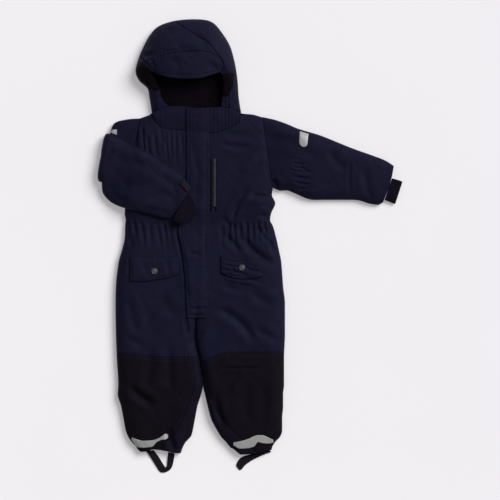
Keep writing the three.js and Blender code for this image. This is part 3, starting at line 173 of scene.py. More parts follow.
FLAP = table("y right left", [
    [300, -137, -88], [146, -137, -87], [80, -144, -87], [30, -155, -88], [2, -150, -88], [-34, -144, -88],
    [-73, -140, -88], [-155, -136, -92],
])
FLAP_TOP, FLAP_FOOT = 296.5 * MM, -155 * MM
FLAP_THICK = 3 * MM
POCKET_LEFT, POCKET_RIGHT, POCKET_TOP, POCKET_FOOT = -69.5 * MM, -83 * MM, 187 * MM, 76 * MM
WELT, WELT_THICK = 3.6 * MM, 2.4 * MM
HIP_FLAPS = {
    "right": table("x top bottom", [
        [-258, -25, -76], [-230, -24, -77], [-200, -24, -73], [-172, -23, -68], [-152, -22, -60],
    ]),
    "left": table("x top bottom", [
        [-63, -22, -58], [-45, -24, -66], [-17, -25, -71], [8, -26, -70], [27, -27, -66],
    ]),
}
HIP_THICK = 3 * MM
SNAPS = {"right": (-205 * MM, -54 * MM), "left": (-17 * MM, -46 * MM)}
SNAP_PROFILE = table("r z", [
    [0, 0], [6.3, 0], [6.6, 0.3], [6.6, 1.5], [6.3, 2.1], [5.5, 2.7], [4.8, 2.5], [4.4, 1.75], [3.6, 1.7],
    [2.9, 2.2], [1.8, 2.5], [0.8, 2.62], [0, 2.65],
])
ANKLE_MARKS = {
    "right": table("x top bottom", [
        [-254, -411, -416], [-243, -415, -431], [-230, -418, -433], [-211, -417, -431], [-199, -414, -420],
        [-189, -408, -416], [-181, -403, -415], [-176, -405, -412],
    ]),
    "left": table("x top bottom", [
        [-36, -422, -428], [-21, -419, -435], [-4, -414, -434], [9, -408, -430], [17, -406, -421],
        [26, -406, -423], [39, -411, -424], [50, -416, -422],
    ]),
}
MARK_THICK = 0.8 * MM
STRAPS = {
    "right": table("out_x out_y in_x in_y z", [
        [-223, -441.6, -207, -438.5, 4.2], [-213, -456, -197, -452, 2.2], [-203, -472, -189, -465, 1.4],
        [-194, -485, -182, -476, 1.4], [-184, -487, -181, -475, 1.9], [-172, -481, -179, -473, 2.3],
        [-166, -470, -178, -463, 2.4], [-161.5, -446.6, -176, -442.8, 4.4],
    ]),
    "left": table("out_x out_y in_x in_y z", [
        [46, -443, 43, -439.4, 4.4], [36, -446, 30, -442.2, 3.8], [22, -452, 16, -445.3, 3],
        [4, -461, 2, -447.4, 2.2], [-10, -471, -14, -452, 1.6], [-21, -482, -22, -457, 1.3],
        [-30, -473, -28, -466, 1.3],
    ]),
}
STRAP_THICK = 2 * MM
CUFFS = {
    "left": table("over_x over_y under_x under_y z", [
        [304.9, 145.6, 289.3, 98.6, 8], [316, 142.5, 301, 94, 6.6], [327.6, 138, 312, 90, 6],
    ]),
    "right": table("over_x over_y under_x under_y z", [
        [-132.2, 114.1, -162.6, 65.1, 36], [-121, 98, -163, 55, 35.2], [-114, 66, -148, 45, 34.8],
    ]),
}
CUFF_WALL, CUFF_SLIT, CUFF_RIB = 2.4 * MM, 1.1 * MM, 0.55 * MM
SLEEVE_MARK = {"start": 0.34, "stop": 0.388, "length": 31 * MM, "thick": 1.4 * MM}
FOLD_MARK = table("x top bottom", [[-299, 247, 243.5], [-293, 250, 240.5], [-286, 250, 238]])
WRIST_TAB = {"start": 0.895, "stop": 0.985, "over": 0.01, "under": 0.17, "thick": 2.2 * MM}

# The stitched box on the storm flap, at the waist
FLAP_BOX = {"right": -124 * MM, "left": -94 * MM, "top": -26 * MM, "foot": -90 * MM}
FLAP_STITCH = 6 * MM          # how far inside the storm flap's edges it is stitched
HIP_STITCH = 5 * MM           # and the hip flaps

# Waist gathers: one wave every pitch, deepest at the elastic, clear of the storm flap
GATHER_TOP, ELASTIC, GATHER_FOOT, GATHER_CLEAR = 58 * MM, 42 * MM, -20 * MM, 34 * MM

# Folds, listed one by one: from one end to the other, with their width, their depth (a ridge if below 0) and
# how far their middle bows aside
CREASE = "x1 y1 x2 y2 width depth bow"
FRONT_CREASES = table(CREASE, [
    [-12, 12, 44, -36, 8, 4.2, 5], [-52, 22, -24, -8, 6, 2.6, 0], [-60, -138, 4, -196, 9, 3.6, -6],
    [-54, 217, -4, 214, 6, 2, 2], [-52, 240, 10, 235, 8, 1.2, 0], [-8, 120, -37, 60, 6, 3, 4],
    [18, 62, 38, 68, 4, 1.8, 0], [6, 108, 44, 103, 5, 2, 0], [39, 228, 99, 231, 11, 1.8, 3],
    [19, 38, 46, 2, 4, 1.6, 2], [34, 40, 54, -12, 3.5, 1.5, 2], [40, 12, 58, -32, 3.5, 1.3, 0],
    [-56, -84, 0, -92, 8, 2.4, 4], [4, -96, 45, -124, 10, 2, 4], [-101, -183, -126, -210, 6, 2, 0],
    [-246, 262, -243, 211, 4, 3.8, 0], [-231, 254, -227, 206, 3.6, 3.5, 1], [-191, 250, -187, 222, 4, 1.4, 0],
    [-181, 244, -177, 186, 3, 1, 0], [-171, 244, -168, 192, 3, 1.2, 0], [-160, 242, -157, 176, 3, 1, 1],
    [-148, 242, -145, 200, 3, 1.3, 0],
    [-256, -305, -210, -338, 9, 4.5, 3], [-216, -222, -217, -302, 10, 1.8, 0],
    [-173, -222, -172, -302, 9, 2, 0], [-56, -262, 13, -262, 3, 1.8, 0], [-4, -297, -4, -374, 12, 1.4, 3],
    [28, -297, 26, -383, 12, 1.6, -3],
    [-174, -396, -162, -440, 7, 3.4, 2], [-198, -387, -140, -342, 14, -1.6, 0],
    [-77, -322, -62, -383, 7, 2.4, 0], [22, 96, -30, 104, 10, -1.6, 0], [-155, 22, -142, -34, 4, 2.4, 0],
    [-142, -34, -134, -112, 4, 1.6, 0], [-257, -26, -258, -62, 5, 1.6, 0], [-252, 22, -256, 0, 5, 2.6, 0],
    [-224, -155, -194, -129, 8, 1.8, 0],
    [-260, -118, -244, -180, 9, 1.8, 3], [-190, -110, -158, -150, 12, 1.8, 4],
    [92, 178, 114, 176, 3, 1.3, 1], [86, 163, 120, 160, 3, 1.5, 2], [88, 150, 127, 147, 3.2, 1.6, 2],
    [97, 137, 125, 133, 3.2, 1.6, 2], [105, 123, 138, 127, 4, 1.8, 2], [99, 112, 123, 114, 3, 1.2, 0],
    [215, 176, 214, 112, 4, 1, 2], [49, 140, 60, 122, 6, 3.6, 0], [172, 204, 202, 165, 9, 1.6, 4],
    [62, 128, 92, 126, 6, 2, 2], [247, 162, 258, 106, 8, 1.6, 3], [110, 206, 140, 190, 9, 1.2, 0],
    [-39, -314, -13, -271, 8, -1.4, 0], [-132, -372, -140, -420, 9, 1.8, 0], [-20, 165, 12, 190, 10, -1.4, 3],
    [-70, -330, -52, -400, 8, 1.4, 3], [10, -176, 60, -200, 8, 1.6, 3], [-262, -200, -230, -214, 8, 1.6, 0],
    [-137, -158, -134, -188, 4, 3, 0], [94, 170, 118, 166, 2.6, 1.3, 1], [100, 146, 132, 140, 3, 1.2, -1],
    [86, 156, 104, 152, 2.6, 1.2, 0], [110, 170, 132, 158, 3, 1, 2], [92, 186, 108, 186, 2.6, 1, 0],
    [112, 132, 134, 134, 3, 1.2, 1], [-66, -62, 22, -78, 5, 1.8, -4], [-60, -72, 10, -86, 4, 1.2, 3],
    [22, 70, 48, 58, 5, 2, 2], [-60, 60, -30, 40, 6, 1.8, 3], [28, 84, 46, 96, 4, 1.6, 0],
    [-238, 240, -234, 204, 3, 2.2, 0], [-221, 236, -216, 198, 3.4, 2, 1], [-204, 238, -200, 196, 3.4, 1.4, 1],
])
FLAP_CREASES = table(CREASE, [
    [-128, -16, -106, -20, 4, 1.2, 0], [-127, -135, -92, -134, 4, 1.6, 0], [-127, -150, -94, -148, 4, 1, 0],
    [-124, 236, -110, 150, 6, 0.8, 3], [-112, 140, -118, 60, 6, 0.7, 2], [-97, 30, -97, -14, 3, 1, 0],
])
HIP_CREASES = table(CREASE, [
    [-56, -30, -24, -34, 3, 1.6, 2], [-54, -39, -12, -46, 3, 1.9, 2], [-22, -34, 14, -30, 3, 1.6, -2],
    [-58, -52, -10, -62, 3, 2, -3], [-4, -50, 22, -54, 3, 1.5, 2],
    [-40, -46, -24, -62, 3, 1.2, 1], [-232, -30, -214, -66, 6, 0.8, 2],
    [-180, -28, -172, -62, 5, 0.9, 0],
])
FOLDED_CREASES = table(CREASE, [
    [-280, 185, -218, 176, 10, 1.6, 5], [-198, 190, -178, 176, 6, 1.8, 0], [-311, 186, -294, 206, 6, 1.6, 0],
    [-275, 136, -228, 130, 9, 1.6, 4], [-213, 100, -172, 110, 9, 1.6, -4], [-294, 110, -260, 96, 7, 1.8, 3],
    [-240, 80, -180, 72, 6, 1.4, 0], [-236, 160, -196, 138, 10, -1.2, 0], [-252, 196, -232, 170, 8, 1.2, 2],
    [-186, 152, -160, 128, 7, 1.2, 2],
])
HOOD_CREASES = table(CREASE, [
    [-155, 426, -127, 426, 5, 1.4, 1], [-182, 415, -120, 416, 5, 1.8, -2], [-228, 408, -206, 413, 5, 2.4, 1],
    [-213, 402, -206, 383, 4, 1.6, 0], [-58, 396, -60, 374, 6, 2, 0], [-122, 449, -92, 428, 9, 1.8, -3],
    [-142, 393, -138, 387, 3, 1.4, 0], [-168, 400, -150, 388, 8, 1.3, 0], [-88, 388, -62, 379, 8, 1.5, 2],
    [-176, 456, -140, 462, 10, 1.2, 0], [-39, 340, -37, 292, 3, 1.6, 0], [-47, 348, -46, 292, 3, 1.8, 0],
    [-31, 331, -31, 292, 3, 1.2, 0], [-54, 336, -53, 300, 3, 1.2, 0], [-212, 352, -196, 346, 5, 2.2, 0],
    [-206, 330, -194, 336, 4, 1.6, 0], [-204, 312, -188, 322, 4, 1.6, 0], [-196, 300, -182, 308, 4, 1.4, 0],
])
BACK_CREASES = table(CREASE, [
    [-60, 120, 20, 60, 10, 0.9, 8], [-210, 40, -140, -20, 9, 0.9, 5], [-240, -120, -160, -160, 12, 1, 6],
    [-60, -150, 40, -200, 10, 1, -6], [-230, -260, -150, -256, 8, 0.8, 0], [-40, -262, 50, -270, 8, 0.8, 3],
    [-200, 230, -130, 190, 10, 0.8, 5], [90, 200, 170, 150, 10, 0.9, 4], [-20, -330, 30, -380, 9, 0.8, 0],
])


def setting(kind, name, description, default, **options):
    """A property of one kind, with its name, description and default."""
    return kind(name=name, description=description, default=default, **options)


def length(name, description, default):
    """A length property in metres."""
    return setting(bpy.props.FloatProperty, name, description, default, unit="LENGTH", precision=5, min=0)


def amount(name, description, default, high=1000.0):
    """A plain number property."""
    return setting(bpy.props.FloatProperty, name, description, default, subtype="NONE", min=0, max=high)


def paint(name, description, red, green, blue):
    """A colour property from the screen values 0 to 255 of a colour, kept as linear light."""
    screen = np.array([red, green, blue]) / 255
    linear = np.where(screen <= 0.04045, screen / 12.92, ((screen + 0.055) / 1.055) ** 2.4)
    return setting(bpy.props.FloatVectorProperty, name, description, tuple(linear), subtype="COLOR",
                   min=0, max=1, size=3)


class SnowsuitSizes(bpy.types.PropertyGroup):
    """Sizes that a maker would change without cutting new panels."""
    cell: length("Grid step", "Distance between the points of a panel's grid", 1.7 * MM)
    gather_pitch: length("Gather pitch", "Distance between two waves at the waist", 14 * MM)
    gather_depth: length("Gather depth", "Height of the waves at the waist", 2.4 * MM)
    crumple: length("Crumple", "Height of the cloth's small unevenness over its wadding", 1.0 * MM)
    crease: amount("Crease", "How deep the folds are, 1 being as listed", 1.3, 3)
    pucker: length("Pucker", "Height of the small waves along a seam", 0.5 * MM)
    pucker_pitch: length("Pucker pitch", "Distance between two waves along a seam", 8.5 * MM)
    stitch: length("Stitch", "Length of a top stitch", 2.5 * MM)
    stitch_pitch: length("Stitch pitch", "Distance from one top stitch to the next", 3.3 * MM)
    thread: length("Thread", "Radius of the sewing thread", 0.32 * MM)
    tooth_pitch: length("Tooth pitch", "Distance from one zip tooth to the next", 1.9 * MM)
    weave_pitch: length("Weave pitch", "Distance between two threads of the shell's weave", 0.9 * MM)
    ribs: setting(bpy.props.IntProperty, "Ribs", "Ribs round a cuff", 30,
                  subtype="UNSIGNED", min=4, max=80)


class SnowsuitColours(bpy.types.PropertyGroup):
    """Colours of the cloths and trims."""
    shell: paint("Shell", "Dark navy woven nylon", 21, 22, 42)
    shell_warm: paint("Shell, warm", "The shell's slightly purple patches", 26, 22, 41)
    reinforcement: paint("Reinforcement", "Black woven nylon at the knees", 17, 12, 18)
    gusset: paint("Gusset", "Darker navy nylon inside the legs", 20, 16, 31)
    lining: paint("Lining", "Near-black brushed lining", 11, 6, 13)
    knit: paint("Rib knit", "Near-black rib knit", 16, 12, 24)
    webbing: paint("Webbing", "Black woven webbing", 24, 19, 26)
    reflective: paint("Reflective", "Silver-grey reflective film", 183, 182, 181)
    zip: paint("Zip", "Dark olive-grey zip", 38, 38, 38)
    # Partly the teeth's own colour and partly a painted highlight: they are lighter than the tape to stand
    # for the light caught along the coil.
    teeth: paint("Teeth", "Lighter zip teeth", 56, 56, 60)
    snap: paint("Snap", "Dull grey snap", 84, 80, 88)
    thread: paint("Thread", "Navy sewing thread", 30, 31, 54)
    floor: paint("Floor", "Pale floor", 232, 229, 232)


class SnowsuitStage(bpy.types.PropertyGroup):
    """The camera, the floor and the lights."""
    view_width: length("View width", "Width of the floor that the camera sees", 1.075)
    view_y: setting(bpy.props.FloatProperty, "View centre", "Where the camera looks along the body",
                    -8.6 * MM, unit="LENGTH")
    distance: length("Distance", "Height of the camera above the floor", 12.0)
    sun: amount("Sun", "Strength of the soft main light", 2.6)
    sun_angle: setting(bpy.props.FloatProperty, "Sun size", "Width of the main light, as an angle",
                       math.radians(34), subtype="ANGLE")
    sky: amount("Sky", "Strength of the even light from all round", 0.22)
    glow: amount("Floor glow", "Light that the lit-through floor gives off", 0.32)


class SnowsuitSettings(bpy.types.PropertyGroup):
    """All settings of the snowsuit."""
    sizes: bpy.props.PointerProperty(type=SnowsuitSizes)
    colours: bpy.props.PointerProperty(type=SnowsuitColours)
    stage: bpy.props.PointerProperty(type=SnowsuitStage)


def sizes():
    """The sizes that the maker has set."""
    return bpy.context.scene.snowsuit.sizes


def colours():
    """The colours that the maker has set."""
    return bpy.context.scene.snowsuit.colours


# Numbers

def lerp(start, stop, share):
    """The value at a share of the way from start to stop."""
    return start + (stop - start) * share


def smooth(share):
    """A step from 0 to 1 that starts and ends level: share squared, times 3 less twice the share."""
    return share * share * (3 - 2 * share)


def ramp(value, start, stop):
    """A smooth step from 0 at start to 1 at stop."""
    return smooth(np.clip((value - start) / (stop - start), 0, 1))


def read(rows, key, at, column):
    """A column of a table at a key: a smooth curve through its rows that never swings past them, level beyond
    the ends. Each row's slope is the harmonic mean of its neighbours', or 0 at a turn."""
    order = np.argsort(rows[key])
    k, v = rows[key][order], rows[column][order]
    step = np.diff(k)
    rise = np.diff(v) / step
    same = rise[:-1] * rise[1:] > 0
    mean = 2 * rise[:-1] * rise[1:] / np.where(same, rise[:-1] + rise[1:], 1)
    slope = np.concatenate([rise[:1], np.where(same, mean, 0), rise[-1:]])
    at = np.clip(at, k[0], k[-1])
    i = np.clip(np.searchsorted(k, at, "right") - 1, 0, len(k) - 2)
    t = (at - k[i]) / step[i]
    bend = t * (1 - t) * step[i]
    return lerp(v[i], v[i + 1], smooth(t)) + bend * ((1 - t) * slope[i] - t * slope[i + 1])


def station(rows, at, column):
    """A column of a table whose rows are evenly spaced stations, on a curve through them whose slope at each
    row is half the step between its neighbours."""
    v = rows[column]
    last = len(v) - 1
    i = np.clip(np.floor(at).astype(int), 0, last - 1)
    t = np.clip(at - i, 0, 1)
    a, b, c, d = (v[np.clip(i + k, 0, last)] for k in (-1, 0, 1, 2))
    return b + 0.5 * t * (c - a + t * (2 * a - 5 * b + 4 * c - d + t * (3 * (b - c) + d - a)))


def round_edge(distance, reach, share=1.0):
    """How far an edge has risen at a distance from it: a quarter round over its reach, or part of it."""
    near = 1 - np.clip(distance / reach, 0, 1)
    return 1 - share * (1 - np.sqrt(np.maximum(0, 1 - near ** 2.4)))


def noise(x, y, size, seed):
    """Smooth random hills from -1 to 1, about size across: random numbers at the corners of a square grid,
    blended with a smooth step between them."""
    corners = np.random.default_rng(seed).uniform(-1, 1, (64, 64))
    u, v = x / size, y / size
    i, j = np.floor(u).astype(int), np.floor(v).astype(int)
    a, b = smooth(u - i), smooth(v - j)

    def corner(di, dj):
        """The random number at a corner of each point's square."""
        return corners[(i + di) % 64, (j + dj) % 64]

    return lerp(lerp(corner(0, 0), corner(1, 0), a), lerp(corner(0, 1), corner(1, 1), a), b)


def crumple(x, y, seed=3):
    """The cloth's small unevenness: soft hills of two sizes, and fine crease lines where a third field of
    hills, stretched along one diagonal, crosses zero."""
    hills = 0.55 * noise(x, y, 42 * MM, seed) + 0.3 * noise(x, y, 17 * MM, seed + 1)
    lean = noise(0.8 * x + 0.6 * y, 0.35 * (0.8 * y - 0.6 * x), 30 * MM, seed + 2)
    lines = (1 - np.abs(lean)) ** 9 * (0.5 + 0.5 * noise(x, y, 60 * MM, seed + 3))
    return sizes().crumple * (hills - 0.9 * lines)


def creases(x, y, rows):
    """Depth of the listed folds: across its line each is a bell-shaped trough with a low ridge on both sides;
    the line bows aside by a parabola, and the fold fades over its ends."""
    depth = np.zeros(np.broadcast(x, y).shape)
    for x1, y1, x2, y2, width, deep, bow in zip(*(rows[c] for c in CREASE.split())):
        dx, dy = x2 - x1, y2 - y1
        long = math.hypot(dx, dy)
        along = ((x - x1) * dx + (y - y1) * dy) / long ** 2
        aside = ((x - x1) * dy - (y - y1) * dx) / long - bow * (1 - (2 * along - 1) ** 2)
        fade = ramp(np.minimum(along, 1 - along), -0.2, 0.2)
        ridge = np.exp(-((np.abs(aside) - 1.9 * width) / (1.1 * width)) ** 2)
        depth += sizes().crease * deep * fade * (np.exp(-(aside / width) ** 2) - 0.28 * ridge)
    return depth


def pucker(distance, along, seed, reach=9 * MM, scale=1.0):
    """The small waves that a seam draws up: an uneven wave along it, dying away with the distance from it,
    and the dip of the seam itself."""
    phase = 2 * np.pi * along / sizes().pucker_pitch + 4.5 * noise(along, along * 0, 31 * MM, seed)
    uneven = 0.5 + 0.8 * noise(along, along * 0 + 1, 19 * MM, seed + 1)
    away = np.maximum(distance, 0)
    wave = np.sin(phase) * uneven * np.exp(-away / reach)
    return scale * sizes().pucker * (wave - 2.2 * np.exp(-away / (3 * MM)))


def groove(distance, depth=0.5 * MM, width=1.3 * MM):
    """The narrow trough that a row of stitches presses into the cloth."""
    return -depth * np.exp(-(distance / width) ** 2)


# The body's top

def seams(half, y):
    """Side seam and inner edge of one half of the body at y."""
    sign = -1 if half == "right" else 1
    outer = read(BODY, "y", y, half) + sign * ARMHOLE_LAP
    gap = np.maximum(read(BODY, "y", y, "gap") - 0.13 * MM, SEAM_GAP / 2)
    return outer, read(BODY, "y", y, "middle") + sign * gap


def gather(x, y):
    """Waist gathers: uneven waves across the body, fading above and below the elastic and near the flap."""
    reach = 10 * MM * noise(x, y * 0.1, 13 * MM, 53)
    fade = ramp(y, GATHER_TOP + reach, ELASTIC) * ramp(y, GATHER_FOOT - 1.6 * reach, ELASTIC)
    clear = np.clip((np.abs(x - MIDDLE) - GATHER_CLEAR) / GATHER_CLEAR, 0, 1)
    turn = (x + 3 * MM * np.sin(x / (23 * MM)) + 0.12 * (y - ELASTIC)) / sizes().gather_pitch
    turn = turn + 0.3 * noise(x, y * 0.35, 24 * MM, 51)
    uneven = 0.7 + 0.6 * noise(x, y * 0.3, 16 * MM, 52)
    wave = np.cos(2 * np.pi * turn)
    return sizes().gather_depth * uneven * fade * clear * (wave - 0.25 * wave ** 2)


def elastic_lines(x, y):
    """Two rows of stitching over the waist elastic, pressed into the gathers."""
    clear = np.clip((np.abs(x - MIDDLE) - GATHER_CLEAR) / GATHER_CLEAR, 0, 1)
    above, below = y - ELASTIC - 6 * MM, y - ELASTIC + 6 * MM
    return clear * (groove(above, 0.7 * MM, 2 * MM) + groove(below, 0.7 * MM, 2 * MM))


def body_top(x, y, detail=True):
    """Height of the top of the front, legs included: the crown of the padded wall, rounded towards its side
    seam, its inner edge and the shoulder, with its folds, gathers and puckers."""
    right = x < read(BODY, "y", y, "middle")
    outer = np.where(right, seams("right", y)[0], seams("left", y)[0])
    inner = np.where(right, seams("right", y)[1], seams("left", y)[1])
    soft = read(BODY, "y", y, "soft")
    shoulder = read(SHOULDER, "x", x, "y") - y
    rise = round_edge(np.abs(x - outer), soft, read(BODY, "y", y, "side"))
    rise = rise * round_edge(np.abs(x - inner), soft * 0.7, read(BODY, "y", y, "inner"))
    rise = rise * round_edge(shoulder, soft * 0.7)
    relief = 0
    if detail:
        knee = y - read(KNEE_SEAM, "x", x, "y")
        neck = read(NECKLINE, "x", x, "y") - y
        relief = gather(x, y) + elastic_lines(x, y) - creases(x, y, FRONT_CREASES) + crumple(x, y)
        relief = relief + pucker(np.abs(knee), x, 11) + groove(knee + 7 * MM, 0.6 * MM)
        relief = relief + pucker(np.abs(neck), x, 13) + pucker(np.abs(x - outer), y, 17, 12 * MM, 0.9)
        relief = relief + pucker(np.abs(x - inner), y, 19, 7 * MM, 0.8)
    return LOW + np.maximum(read(BODY, "y", y, "top") - LOW + relief, 1.5 * MM) * rise


def chest_top(x, y, detail=True):
    """Height of the collar above the neckline, and of the front below it: above the neckline it swells as a
    sine over the collar's width."""
    neck = read(NECKLINE, "x", x, "y")
    tall = np.maximum(read(COLLAR_TOP, "x", x, "y") - neck, 8 * MM)
    share = np.clip((y - neck) / tall, 0, 1)
    swell = 5 * MM * np.sin(share * 1.9)
    if detail:
        swell = swell + 0.8 * crumple(x, y, 21) * np.sin(np.pi * share)
    return body_top(x, np.minimum(y, neck - 0.4 * MM), detail) + swell


# Meshes

def unrolled(grid):
    """The piece's own UV map in metres: the distance along the grid's rows and down its columns."""
    across = np.linalg.norm(np.diff(grid, axis=1, prepend=grid[:, :1]), axis=2).cumsum(axis=1)
    down = np.linalg.norm(np.diff(grid, axis=0, prepend=grid[:1]), axis=2).cumsum(axis=0)
    return np.stack([across, down], axis=2)


def make(name, points, faces, uv, materials, second=None):
    """A mesh object from points and faces, turned so that its faces point out: the sum of the signed volumes
    between its faces and the origin is made positive."""
    mesh = bpy.data.meshes.new(name)
    centred = points - points.mean(axis=0)
    volume = sum(
        np.einsum("ij,ij->", centred[f[:, 0]], np.cross(centred[f[:, k]], centred[f[:, k + 1]]))
        for f in faces for k in range(1, f.shape[1] - 1)
    )
    if volume < 0:
        faces = [f[:, ::-1] for f in faces]
    mesh.from_pydata(points, [], [loop for f in faces for loop in f.tolist()])
    mesh.polygons.foreach_set("use_smooth", np.ones(len(mesh.polygons), bool))
    corner = np.concatenate([f.ravel() for f in faces])
    mesh.uv_layers.new(name="cloth").data.foreach_set("uv", uv[corner].astype(np.float32).ravel())
    for material in materials:
        mesh.materials.append(material)
    if second is not None:
        mesh.polygons.foreach_set("material_index", second.astype(np.int32))
    mesh.update()
    thing = bpy.data.objects.new(name + DRESSED, mesh)
    bpy.context.scene.collection.objects.link(thing)
    return thing


def quads(index, wrap=False):
    """Four-sided faces between the neighbouring points of a grid of point numbers."""
    if wrap:
        index = np.concatenate([index, index[:, :1]], axis=1)
    return np.stack([index[:-1, :-1], index[:-1, 1:], index[1:, 1:], index[1:, :-1]], axis=-1).reshape(-1, 4)


def shell(name, outer, inner, materials):
    """A closed wall between two grids of the same size: both grids, and a rim between their edges."""
    rows, columns = outer.shape[:2]
    number = np.arange(rows * columns).reshape(rows, columns)
    under = number + rows * columns
    rims = [np.stack([a, b]) for a, b in (
        (number[0], under[0]), (under[-1], number[-1]),
        (under[:, 0], number[:, 0]), (number[:, -1], under[:, -1]),
    )]
    faces = [quads(number)[:, ::-1], quads(under)] + [quads(r) for r in rims]
    counts = [len(f) for f in faces]
    second = np.repeat([0, 1, 0, 0, 0, 0], counts) if len(materials) > 1 else None
    uv = np.concatenate([unrolled(outer).reshape(-1, 2), unrolled(inner).reshape(-1, 2)])
    points = np.concatenate([outer.reshape(-1, 3), inner.reshape(-1, 3)])
    return make(name, points, faces, uv, materials, second)


def plate(name, face, level, materials):
    """A closed piece with one modelled face and one flat face at a level: the grid, its rim down to the
    level, and one strip of faces across the flat side."""
    rows, columns = face.shape[:2]
    number = np.arange(rows * columns).reshape(rows, columns)
    ring = np.concatenate([number[0], number[1:, -1], number[-1, -2::-1], number[-2:0:-1, 0]])
    flat = face.reshape(-1, 3)[ring].copy()
    flat[:, 2] = level
    low = np.arange(len(ring)) + rows * columns
    right = low[columns:columns + rows - 2]
    left = low[-1:-(rows - 1):-1]
    top = np.concatenate([low[:columns], right[:1], left[:1]])[None]
    bottom = np.concatenate([low[columns + rows - 2:len(ring) - (rows - 2)], left[-1:], right[-1:]])[None]
    strip = np.stack([right[:-1], right[1:], left[1:], left[:-1]], axis=1)
    rim = quads(np.stack([np.append(ring, ring[0]), np.append(low, low[0])]))
    faces = [quads(number)] + [f[:, ::-1] for f in (rim, top, bottom, strip)]
    points = np.concatenate([face.reshape(-1, 3), flat])
    uv = unrolled(face).reshape(-1, 2)
    return make(name, points, faces, np.concatenate([uv, uv[ring]]), materials)


def dress(thing, slot, *nodes):
    """The piece rides on the one body and stands for its solids. Its slot is not used."""
    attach(thing, "root")
    if nodes:
        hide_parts(*nodes)
    return thing


def padded(thing):
    """A padded panel of the shell, which stands for the solid of its own name."""
    dress(thing, "shell", thing.name.removesuffix(DRESSED))
    return thing


def sheet(thing, slot, node):
    """A single layer of cloth that stands for a solid."""
    dress(thing, slot, node)
    return thing


def lengths(distance, step=None):
    """Evenly spaced shares from 0 to 1 for a distance, a grid step apart."""
    return np.linspace(0, 1, max(int(round(distance / (step or sizes().cell))), 2) + 1)


def pushed(grid, depth):
    """The grid moved along its own normals, on the side that faces up, by a depth at each point."""
    normal = np.cross(np.gradient(grid, axis=0), np.gradient(grid, axis=1))
    normal /= np.linalg.norm(normal, axis=2, keepdims=True) + 1e-12
    normal *= np.sign(normal[..., 2].mean())
    return grid + normal * np.asarray(depth)[..., None]


def place(half, share, line, between=seams):
    """Places at a share of the way across a half, on lines whose height y depends on x: x and y are worked
    out in turn until they settle."""
    y = line(np.full(np.broadcast(share, 0).shape, MIDDLE))
    for _ in range(14):
        outer, inner = between(half, y)
        x = lerp(outer, inner, share)
        y = line(x)
    return x, y


def panel_places(half, top_line, foot_line, width, tall, between=seams, step=None):
    """Grid of places between two lines, from the side seam to the inner edge."""
    across, down = lengths(width, step)[None], lengths(tall, step)[:, None]
    across = np.broadcast_to(across, (down.shape[0], across.shape[1]))
    return place(half, across, lambda x: lerp(top_line(x), foot_line(x), down), between)


class Ground:
    """Heights of what a laid piece rests on, on a square grid of places: the highest within a reach, then
    softened, and read between the places."""

    def __init__(self, surface, x_range, y_range, reach, soften, step=2 * MM):
        """Heights on the grid: the highest neighbour is taken once a step of the reach, then their mean."""
        self.low = x_range[0], y_range[0]
        self.step = step
        x, y = np.meshgrid(np.arange(*x_range, step), np.arange(*y_range, step), indexing="ij")
        z = surface(x, y)
        for _ in range(round(reach / step)):
            z = self.neighbours(z).max(axis=0)
        for _ in range(round(soften / step)):
            z = self.neighbours(z).mean(axis=0)
        self.z = z

    @staticmethod
    def neighbours(z):
        """The grid and its four shifted copies, its edges repeated."""
        wide = np.pad(z, 1, mode="edge")
        return np.stack([wide[1:-1, 1:-1], wide[:-2, 1:-1], wide[2:, 1:-1], wide[1:-1, :-2], wide[1:-1, 2:]])

    def __call__(self, x, y):
        """The height at any place: a blend of the four nearest heights by their distance."""
        u = np.clip((x - self.low[0]) / self.step, 0, self.z.shape[0] - 1.001)
        v = np.clip((y - self.low[1]) / self.step, 0, self.z.shape[1] - 1.001)
        i, j = u.astype(int), v.astype(int)
        z = self.z
        return lerp(lerp(z[i, j], z[i + 1, j], u - i), lerp(z[i, j + 1], z[i + 1, j + 1], u - i), v - j)


def sleeve_chord(rows, s, u):
    """A point of a sleeve at a share of its length and of its width, and the width there."""
    at = s * (len(rows["over_x"]) - 1)
    over = station(rows, at, "over_x"), station(rows, at, "over_y")
    under = station(rows, at, "under_x"), station(rows, at, "under_y")
    wide = np.hypot(under[0] - over[0], under[1] - over[1])
    return lerp(over[0], under[0], u), lerp(over[1], under[1], u), wide


def tube_rise(u, wide, reach=SLEEVE_SOFT):
    """How far a sleeve has risen between its two seams."""
    return round_edge(np.minimum(u, 1 - u) * wide, reach)


def floor_rise(u, wide):
    """Underside of a back wall that lies on the floor and turns up at its two seams."""
    return (BACK_TOP - EDGE) * (1 - tube_rise(u, wide, 12 * MM))


def left_sleeve_places(s, u):
    """Places of the left sleeve, whose end bows out over its cuff."""
    x, y, wide = sleeve_chord(LEFT_SLEEVE, s, u)
    out = read(SLEEVE_BOW, "u", u, "out") * ramp(s, BOW_FROM, 1)
    return x + SLEEVE_END[0] * out, y + SLEEVE_END[1] * out, wide


def left_sleeve_top(s, u, detail=True):
    """Height of the left sleeve's top, with its folds, its hem's stitching and the puckers of its seams."""
    x, y, wide = left_sleeve_places(s, u)
    top = station(LEFT_SLEEVE, s * (len(LEFT_SLEEVE["top"]) - 1), "top")
    relief = 0
    if detail:
        relief = crumple(x, y, 31) - creases(x, y, FRONT_CREASES)
        relief = relief + pucker(s * LEFT_LONG, y, 33, 10 * MM, 0.6)
        relief = relief + pucker((1 - s) * LEFT_LONG, y, 35, 7 * MM)
        relief = relief + groove((1 - s) * LEFT_LONG - HEM, 0.8 * MM, 1.8 * MM)
        relief = relief + pucker(u * wide, x, 36, 12 * MM, 1.2) + pucker((1 - u) * wide, x, 37, 12 * MM, 1.2)
    return LOW + np.maximum(top - LOW + relief, 1.2 * MM) * tube_rise(u, wide)


